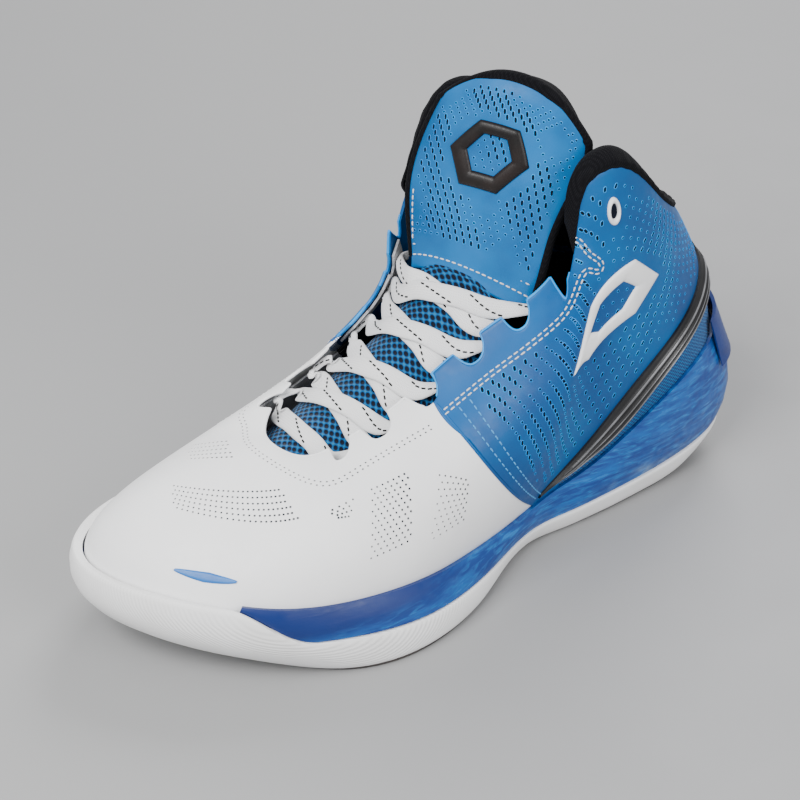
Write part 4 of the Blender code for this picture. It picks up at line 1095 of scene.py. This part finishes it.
def fine_tongue():
    s, t = tongue_grid(0.0, FOLD_T + 0.02, 61, eased(120))
    puff = 0.5 * np.cos(np.clip(s, -1, 1) * np.pi / 2)**0.5
    shell("tongue_spacer", tongue(s, t, puff), tongue(s, t, -TONGUE_MESH), SPACER, "tongue", soft=0.8,
          stands_for="tongue_mesh", slot="cyan_mesh")

    # the padded top: the front skin swells between its stitched edges
    s, t = tongue_grid(FOLD_T - 0.10, 7.0, 61, eased(80))
    across = 1 - np.abs(s)**4
    rise = np.clip((t - FOLD_T) / 0.35, 0, 1) * np.clip((7.0 - t) / 0.5, 0, 1)
    swell = 1.3 * across * smooth_step(rise, 0, 1) + 0.2
    dimple = -0.6 * np.exp(-((s - BADGE[0]) / 0.30)**2 - ((t - BADGE[1]) / 0.30)**2)
    drop = rolled(*s.shape, 0.8)
    shell("tongue_skin", tongue(s, t, swell + dimple + drop), tongue(s, t, -TONGUE_SKIN),
          TONGUE_LEATHER, "tongue_top", soft=0.7,
          stands_for="tongue_panel", slot="cyan_synthetic")
    s, t = tongue_grid(FOLD_T + 0.26, 6.93, 41, eased(50))
    foam_in = -TONGUE_SKIN - GAP - 0.6 - TONGUE_FOAM * (1 - np.abs(s)**3)
    shell("tongue_pad", tongue(s, t, -TONGUE_SKIN - 0.1), tongue(s, t, foam_in),
          FOAM, "tongue_top", soft=0.9, stands_for="tongue_foam", slot="padding")
    shell("tongue_back", tongue(s, t, foam_in - 0.1), tongue(s, t, foam_in - 1.2 + 0.6 * rolled(*s.shape)),
          BLACK_KNIT, "tongue_top", soft=0.9, stands_for="tongue_lining", slot="black_textile")

    # knitted binding round the two sides and over the top
    side = np.linspace(FOLD_T + 0.05, 6.45, 60)
    over = np.linspace(-1, 1, 80)
    line = np.concatenate([np.stack([np.full_like(side, -1.0), side], -1)[:-1],
                           np.stack([over, 7.0 - TONGUE_DROP * np.abs(over)**3], -1),
                           np.stack([np.full_like(side, 1.0), side[::-1]], -1)[1:]])
    bead("tongue_binding", tongue(line[:, 0], line[:, 1], -1.3), 1.9, BLACK_KNIT, "tongue_top", 12)

    # the padded edge over the top, from the front skin to the back
    s, r = np.meshgrid(np.linspace(-1, 1, 61), np.linspace(0, 1, 21), indexing="ij")
    top = 6.985 - TONGUE_DROP * np.abs(s)**3
    back = -TONGUE_SKIN - 1.6 - TONGUE_FOAM * (1 - np.abs(s)**3)
    depth = 0.5 + (back - 0.5) * r
    raised = tongue(s, top, depth)
    ahead = unit(tongue(s, top, depth) - tongue(s, top - 0.1, depth))
    over = raised + ahead * (1.1 * np.sin(np.pi * r)**0.6)[..., None]
    shell("tongue_top_roll", over, raised - ahead * 2.0, BLACK_KNIT, "tongue_top", soft=0.8)

    # the badge: a plain six-cornered ring standing in a shallow bed
    x, y = hexagon(96, 0.56, [0, 0.08, 0.25, 0.5, 0.75, 0.92, 1.0])
    heights = np.array([1.4, 2.3, 2.7, 2.8, 2.7, 2.3, 1.4])
    s = BADGE[0] + 0.50 * x
    t = BADGE[1] + 0.52 * y
    shell("badge_ring", tongue(s, t, heights[None, :]), tongue(s, t, 0.4), BADGE_BLACK,
          "tongue_top", ring=True, stands_for="tongue_badge", slot="black_plate")

    rows = []
    for rise in (0.10, 0.24):
        s = np.linspace(-0.93, 0.95, 80)
        t = np.full_like(s, FOLD_T + rise)
        rows.append((tongue(s, t, 0.45), unit(tongue(s, t, 1.0) - tongue(s, t, 0.0))))
    t = np.linspace(FOLD_T + 0.3, 5.0, 30)
    s = np.full_like(t, -0.90)
    rows.append((tongue(s, t, 0.9), unit(tongue(s, t, 1) - tongue(s, t, 0))))
    stitches("tongue_stitches", rows, WHITE_THREAD, "tongue_top", 1.9, 2.7, 0.4)


# ---------------------------------------------------------------- lace
TAB_ENDS = [(5.93, 6.62), (6.62, 7.18), (7.18, 7.78), (7.78, 8.47), (8.47, 9.18)]   # tabs 5 to 1
CROSS_T = [3.72, 3.08, 2.42, 1.82]     # tongue stations of the crossings, from the ankle down
CROSS_SLOPE = 0.20
BAR_T = 1.2


UNDER_TAB = [(-0.42, 0.930, -4.7), (0.0, 0.868, -4.3), (0.42, 0.930, -4.7)]   # share, v, offset
LACE_END = [(5.98, 0.79, -4.4), (6.14, 0.84, -4.3)]
TURN_GATHER = 0.22       # the lace bunches where it turns under a tab


def face_at(place, a, b):
    """The outward direction of a surface."""
    return unit(place(a, b, 1.0) - place(a, b, 0.0))


def under_tab(side, tab, going_down):
    """The lace where it turns under a tab: points and the directions its flat side faces."""
    near, far = TAB_ENDS[tab]
    made = []
    for share, v, off in UNDER_TAB:
        w = (near + far) / 2 + share * (far - near) / 2
        w = w if side > 0 else STATIONS - w
        facing = unit(face_at(upper, w, v) * (0.3 if share else 1.0) + np.array([0, -0.7, 0.7]))
        made.append((upper(w, v, off), facing, TURN_GATHER))
    return made if going_down else made[::-1]


def crossing(side_from, t, slope, high):
    """The lace over the tongue from one side to the other; slope is its rise in t."""
    made = []
    stations = (0.70, 0.36, 0.0, -0.40, -0.82)
    for s in stations if side_from > 0 else reversed(stations):
        lift = 1.9 + (2.3 * max(0, 1 - (s / 0.82)**2) if high else 0) - min(0, s + 0.4) * 4
        place = (s, t - slope * s * side_from)
        made.append((tongue(*place, lift), face_at(tongue, *place), LACE_GATHER))
    return made


def lace_route():
    """The lace from its lateral end, down the throat, over the bar and up again."""
    route = [(upper(w, v, off), face_at(upper, w, v), TURN_GATHER) for w, v, off in LACE_END]
    side = 1
    for tab in range(4):
        route += under_tab(side, tab, True)[2 if tab == 0 else 0:]
        route += crossing(side, CROSS_T[tab], -CROSS_SLOPE, tab % 2 == 0)
        side = -side
    route += under_tab(side, 4, True) + crossing(side, BAR_T, 0.0, False)
    side = -side
    route += under_tab(side, 4, False)
    for tab in range(3, -1, -1):
        route += crossing(side, CROSS_T[tab], CROSS_SLOPE, tab % 2 == 1)
        side = -side
        route += under_tab(side, tab, False)[:1 if tab == 0 else 3]
    for w, v, off in reversed(LACE_END):
        route.append((upper(STATIONS - w, v, off), face_at(upper, STATIONS - w, v), TURN_GATHER))
    return route



def fine_lace():
    """The lace as flat webbing: full width where it crosses the tongue, bunched under the tabs."""
    route = lace_route()
    t = np.linspace(0, len(route) - 1, 14 * (len(route) - 1) + 1)
    centre = open_spline([point for point, _, _ in route])(t)
    facing = open_spline([face for _, face, _ in route])(t)
    gather = open_spline([[0.50 if share < 0.5 else 1.02] for _, _, share in route])(t)
    ahead = unit(np.gradient(centre, axis=0))
    across = unit(np.cross(ahead, facing))
    flat = unit(np.cross(across, ahead))
    half = LACE_WIDTH / 2 * gather
    thick = LACE_THICK / 2 * (1.5 - 0.4 * gather)
    turn = np.arange(16) / 16 * 2 * np.pi
    section = np.stack([np.sign(np.cos(turn)) * np.abs(np.cos(turn))**0.6,
                        np.sign(np.sin(turn)) * np.abs(np.sin(turn))**0.7], -1)
    cup = 0.35 * (1 - section[:, 0]**2)
    rings = (centre[:, None] + across[:, None] * half[:, None] * section[None, :, :1]
             + flat[:, None] * (thick[:, None] * section[None, :, 1:] + cup[None, :, None] * 0.6))
    count = len(centre)
    reach = np.concatenate([[0], np.cumsum(np.linalg.norm(np.diff(centre, axis=0), axis=1))])
    uv = np.stack([np.broadcast_to(reach[:, None], (count, 16)),
                   np.broadcast_to(np.arange(16) * 1.1, (count, 16))], -1).reshape(-1, 2)
    make("lace_webbing", rings.reshape(-1, 3), tube(count, 16), LACE_LOOK, uv=uv,
         stands_for="lace", slot="white_lace")

    # groups of short woven dashes that step across the width
    def on_lace(distance, lateral):
        place = np.interp(distance, reach, np.arange(count))
        k = int(min(place, count - 2))
        b = place - k
        middle = centre[k] * (1 - b) + centre[k + 1] * b
        half_here = (half[k] * (1 - b) + half[k + 1] * b)[0]
        high = (thick[k] * (1 - b) + thick[k + 1] * b)[0] * (1 - abs(lateral)**5) + 0.21 * (1 - lateral**2)
        return middle + across[k] * half_here * lateral + flat[k] * (high + 0.07), flat[k]

    dashes = []
    start = 6.0
    while start < reach[-1] - 14:
        for step in range(6):
            lateral = -0.62 + 0.25 * step
            middle, facing_here = on_lace(start + 2.6 * step, lateral)
            beyond, _ = on_lace(start + 2.6 * step + 0.8, lateral + 0.05)
            dashes.append((middle, unit(beyond - middle), facing_here, 1.9, 0.75))
        start += 21.0
    flat_marks("lace_dashes", dashes, LACE_DASH)


# ---------------------------------------------------------------- punching and stitching
def frame_at(w, v, offset):
    """Point, direction along w, direction along v and normal on the upper."""
    here = upper(w, v, offset)
    along = unit(upper(w + 0.02, v, offset) - upper(w - 0.02, v, offset))
    rising = upper(w, v + 0.01, offset) - upper(w, v - 0.01, offset)
    facing = unit(upper(w, v, offset + 1.0) - here)
    rising = unit(np.cross(facing, along) * np.sign(np.sum(np.cross(facing, along) * rising)))
    return here, along, rising, facing


def quarter_holes(side, name):
    """Slots and dots in slanting clusters over the quarter."""
    holes = []
    pitch = 4.9
    w = np.linspace(0.4, 7.7, 400)
    reach = np.concatenate([[0], np.cumsum(np.linalg.norm(np.diff(upper(w, 0.62), axis=0), axis=1))])
    front_line = FIN_FRONT(np.linspace(0, 6, 60))
    for number, v in enumerate(np.linspace(0.09, 0.93, 32)):
        for count, distance in enumerate(np.arange((number % 2) * pitch / 2, reach[-1], pitch)):
            here = np.interp(distance, reach, w)
            spread = np.linalg.norm(upper(here + 0.05, v) - upper(here - 0.05, v))
            full = np.linalg.norm(upper(here + 0.05, 0.62) - upper(here - 0.05, 0.62))
            if spread < 0.72 * full and count % 2:
                continue
            x = distance
            y = number * 2.9
            if here > seam(v) - 0.42 or v > collar_edge(here) - 0.025:
                continue
            if here > 5.6 and v > 0.775:
                continue
            front = np.interp(here, front_line[:, 0], front_line[:, 1])
            if v < front + 0.035 or here < 0.55:
                continue
            if ((here - 4.05) / 0.30)**2 + ((v - 0.84) / 0.062)**2 < 1:
                continue
            slant = (here - 4.15) / -1.35
            rise = (v - 0.60 - 0.075 * slant) / 0.085
            if 0.34 < (slant**2 + rise**2) < 1.25:
                continue
            if 4.25 < here < 6.1 and abs(v - (0.71 + 0.075 * (here - 4.3))) < 0.03:
                continue
            wave = np.sin((x * 0.75 + y * 0.62) / 6.2) + 0.45 * np.sin((x - 1.7 * y) / 9.0)
            place, along, rising, facing = frame_at(both(here, side), v, QUARTER_LIFT)
            if wave > -0.25:
                lean = unit(rising - 0.38 * along * side)
                holes.append((place, lean, facing, 2.1, 1.15))
            elif wave > -1.1 or number % 3:
                holes.append((place, rising, facing, 1.0, 0.9))
    punched(name + "_quarter_holes", holes, HOLE_EDGE)


def tongue_holes():
    holes = []
    for number, t in enumerate(np.linspace(FOLD_T + 0.42, 6.72, 27)):
        for count in range(17):
            s = -0.86 + 0.107 * count + (0.0535 if number % 2 else 0.0)
            if abs(s) > 0.86 or t > 6.72 - 0.5 * abs(s)**3:
                continue
            ring = ((s - BADGE[0]) / 0.56)**2 + ((t - BADGE[1]) / 0.58)**2
            if 0.22 < ring < 1.0:
                continue
            wave = np.sin(s * 5.2 + t * 3.3) + 0.6 * np.sin(s * 7.5 - t * 4.1)
            rise = np.clip((t - FOLD_T) / 0.35, 0, 1) * np.clip((7.0 - t) / 0.5, 0, 1)
            lift = (1.3 * (1 - abs(s)**4) * smooth_step(rise, 0, 1) + 0.2
                    - 0.6 * np.exp(-((s - BADGE[0]) / 0.30)**2 - ((t - BADGE[1]) / 0.30)**2))
            here = tongue(s, t, lift)
            facing = unit(tongue(s, t, 1.0) - tongue(s, t, 0.0))
            rising = tongue(s, t + 0.05, 0.0) - tongue(s, t - 0.05, 0.0)
            rising = unit(rising - facing * np.dot(rising, facing))
            along = np.cross(facing, rising)
            if wave > 0.0:
                holes.append((here, unit(rising + 0.35 * along), facing, 2.2, 1.05))
            elif wave > -0.9:
                holes.append((here, rising, facing, 0.9, 0.8))
    punched("tongue_holes", holes, HOLE_EDGE, "tongue_top")


# clusters of fine perforations on the vamp: four corners (station, v), then rows and columns
VAMP_CLUSTERS = [
    ((10.98, 0.636), (10.04, 0.764), (9.64, 0.632), (10.74, 0.576), 6, 24),
    ((11.98, 0.684), (11.52, 0.860), (10.92, 0.840), (11.38, 0.724), 5, 10),
    ((8.94, 0.640), (9.30, 0.626), (9.12, 0.585), (8.94, 0.570), 4, 4),
    ((8.70, 0.648), (8.22, 0.644), (8.12, 0.356), (8.60, 0.352), 13, 7),
    ((7.84, 0.556), (7.36, 0.450), (7.30, 0.304), (7.86, 0.308), 10, 6),
]


def vamp_holes():
    holes = []
    for a, b, c, d, rows, columns in VAMP_CLUSTERS:
        a, b, c, d = (np.array(corner) for corner in (a, b, c, d))
        for mirror in (1, -1):
            if mirror < 0 and a[0] > 9:
                continue
            for i in range(rows):
                for j in range(columns):
                    x = (j + (0.5 if i % 2 else 0)) / columns
                    y = i / max(1, rows - 1)
                    w, v = a * (1 - x) * (1 - y) + b * x * (1 - y) + c * x * y + d * (1 - x) * y
                    place, along, _, facing = frame_at(both(w, mirror), v, 0.0)
                    size = 0.62 + 0.28 * (j / columns)
                    holes.append((place, along, facing, size + 0.02, size))
    punched("vamp_perforations", holes, WHITE_HOLE_EDGE, rim=0.16)


# lines of stitching on the upper, through (station, v)
THROAT_LINE = [(5.36, 0.93), (5.1, 0.86), (4.80, 0.776), (4.46, 0.722), (4.62, 0.712), (5.2, 0.775),
               (6.08, 0.825), (6.68, 0.815), (7.2, 0.80), (7.70, 0.79)]
VAMP_LINE = [(7.86, 0.772), (8.3, 0.784), (8.86, 0.772), (9.34, 0.764), (9.94, 0.835), (10.56, 0.895),
             (11.34, 0.915), (12.1, 0.89), (12.66, 0.80), (13.2, 0.785), (13.7, 0.784), (14.14, 0.772)]


def upper_line(points, samples, offset, inward=0.0):
    """A smooth line on the upper through (station, v), moved sideways by inward mm."""
    wv = open_spline(points)(np.linspace(0, len(points) - 1, samples))
    path = upper(wv[:, 0], wv[:, 1], offset)
    facing = unit(upper(wv[:, 0], wv[:, 1], offset + 1.0) - path)
    side = unit(np.cross(unit(np.gradient(path, axis=0)), facing))
    return path + side * inward, facing


def upper_stitching():
    rows = []
    for mirror in (1, -1):
        line = [(both(w, mirror), v) for w, v in THROAT_LINE]
        for inward in (-0.9, 0.9):
            rows.append(upper_line(line, 240, QUARTER_LIFT + 0.1, inward))
    stitches("throat_stitches", rows, WHITE_THREAD)
    rows = []
    for mirror in (1, -1):
        v = np.linspace(0.10, 0.775, 14)
        for back in (0.16, 0.30):
            line = [(both(seam(q) - back, mirror), q) for q in v]
            rows.append(upper_line(line, 120, QUARTER_LIFT + 0.1))
    stitches("seam_stitches", rows, BLUE_THREAD)
    holes = []
    for inward in (-0.9, 0.9):
        path, facing = upper_line(VAMP_LINE, 300, 0.0, inward)
        for middle, ahead, up in zip(*even(path, facing, 2.5)):
            holes.append((middle, ahead, up, 0.72, 0.55))
    punched("vamp_needle_holes", holes, WHITE_HOLE_EDGE, rim=0.14)
    # the cut edges of the panels along the throat, and a welt along the seam between the vamp and the quarter
    for mirror, name in ((1, "lateral"), (-1, "medial")):
        w = np.linspace(5.70, 7.70, 260)
        bead(name + "_quarter_edge", upper(both(w, mirror), quarter_edge(w) + 0.001, -0.25), 0.62, HOLE_EDGE)
        v = np.linspace(0.05, 0.86, 60)
        bead(name + "_seam_edge", upper(both(seam(v) - 0.005, mirror), v, 0.15), 0.65, BLUE_LEATHER)
    w = np.linspace(7.86, 14.14, 420)
    bead("vamp_edge", upper(w, throat_edge(w) + 0.001, -0.45), 0.62, WHITE_LEATHER)


# ---------------------------------------------------------------- assembly
fine_sole()
fine_vamp()
for way, label in ((1, "lateral"), (-1, "medial")):
    fine_quarter(way, label)
    quarter_holes(way, label)
fine_heel()
fine_collar()
fine_trim()
fine_tongue()
tongue_holes()
vamp_holes()
fine_lace()
upper_stitching()

# inner pieces keep their shape and get their own materials
for node, look in (("shank_plate", BLACK_TPU), ("strobel_board", BOARD_FIBRE), ("toe_puff", FELT),
                   ("heel_counter", FELT), ("lateral_eyestay", GREY_KNIT), ("medial_eyestay", GREY_KNIT),
                   ("collar_foam", FOAM)):
    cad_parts[node].data.materials.clear()
    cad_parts[node].data.materials.append(look)


# ---------------------------------------------------------------- floor, camera and light
FLOOR_REACH = 14000      # mm from the middle to each side
FLOOR_CELLS = 40
SKY_COLOUR = (0.80, 0.81, 0.83, 1)
SKY_STRENGTH = 0.72
LAMPS_AIM = (0, 0, 0.08)
# name, place in metres, size in metres, watts
LAMPS = [("key", (0.35, -1.05, 1.25), 0.9, 34),
         ("fill", (1.3, 0.25, 0.8), 0.8, 14),
         ("back", (-0.7, 0.9, 1.2), 0.8, 20)]
# the photograph's camera, fitted to it: degrees, mm from the last's own origin, lens in mm
CAMERA_TURN = (57.57, 34.52, -1.31)
CAMERA_PLACE = (588.8, -381.6, 550.2)
CAMERA_LENS = 92.64


def studio():
    across = np.linspace(-1, 1, FLOOR_CELLS + 1)
    grid_x, grid_y = np.meshgrid(across * FLOOR_REACH, across * FLOOR_REACH, indexing="ij")
    points = np.stack([grid_x, grid_y, np.zeros_like(grid_x)], -1)
    mesh = bpy.data.meshes.new("floor")
    index = np.arange(points.shape[0] * points.shape[1]).reshape(points.shape[:2])
    faces = [(int(index[i, j]), int(index[i + 1, j]), int(index[i + 1, j + 1]), int(index[i, j + 1]))
             for i in range(FLOOR_CELLS) for j in range(FLOOR_CELLS)]
    mesh.from_pydata([tuple(p) for p in points.reshape(-1, 3) * MM - (0, 0, 0.0002)], [], faces)
    mesh.materials.append(FLOOR)
    floor = bpy.data.objects.new("floor", mesh)
    bpy.context.scene.collection.objects.link(floor)
    world = bpy.data.worlds.new("studio")
    world.use_nodes = True
    world.node_tree.nodes["Background"].inputs[0].default_value = SKY_COLOUR
    world.node_tree.nodes["Background"].inputs[1].default_value = SKY_STRENGTH
    bpy.context.scene.world = world
    for name, place, size, watts in LAMPS:
        light = bpy.data.lights.new(name, "AREA")
        light.energy = watts
        light.size = size
        lamp = bpy.data.objects.new(name, light)
        from_z = unit(np.array(place) - np.array(LAMPS_AIM))
        side = unit(np.cross((0, 0, 1.0), from_z))
        above = np.cross(from_z, side)
        rows = [[side[k], above[k], from_z[k], place[k]] for k in range(3)]
        lamp.matrix_world = Matrix(rows + [[0, 0, 0, 1]])
        bpy.context.scene.collection.objects.link(lamp)


def camera():
    azimuth, elevation, roll = np.radians(CAMERA_TURN)
    back = np.array([np.sin(azimuth) * np.cos(elevation),
                     -np.cos(azimuth) * np.cos(elevation),
                     np.sin(elevation)])
    level_right = unit(np.cross((0, 0, 1.0), back))
    level_up = np.cross(back, level_right)
    right = level_right * np.cos(roll) + level_up * np.sin(roll)
    up = level_up * np.cos(roll) - level_right * np.sin(roll)
    eye = metres(CAMERA_PLACE)
    lens = bpy.data.cameras.new("camera")
    lens.sensor_width = 36
    lens.lens = CAMERA_LENS
    made = bpy.data.objects.new("camera", lens)
    made.matrix_world = Matrix([[right[k], up[k], back[k], eye[k]] for k in range(3)] + [[0, 0, 0, 1]])
    bpy.context.scene.collection.objects.link(made)
    bpy.context.scene.camera = made


studio()
camera()
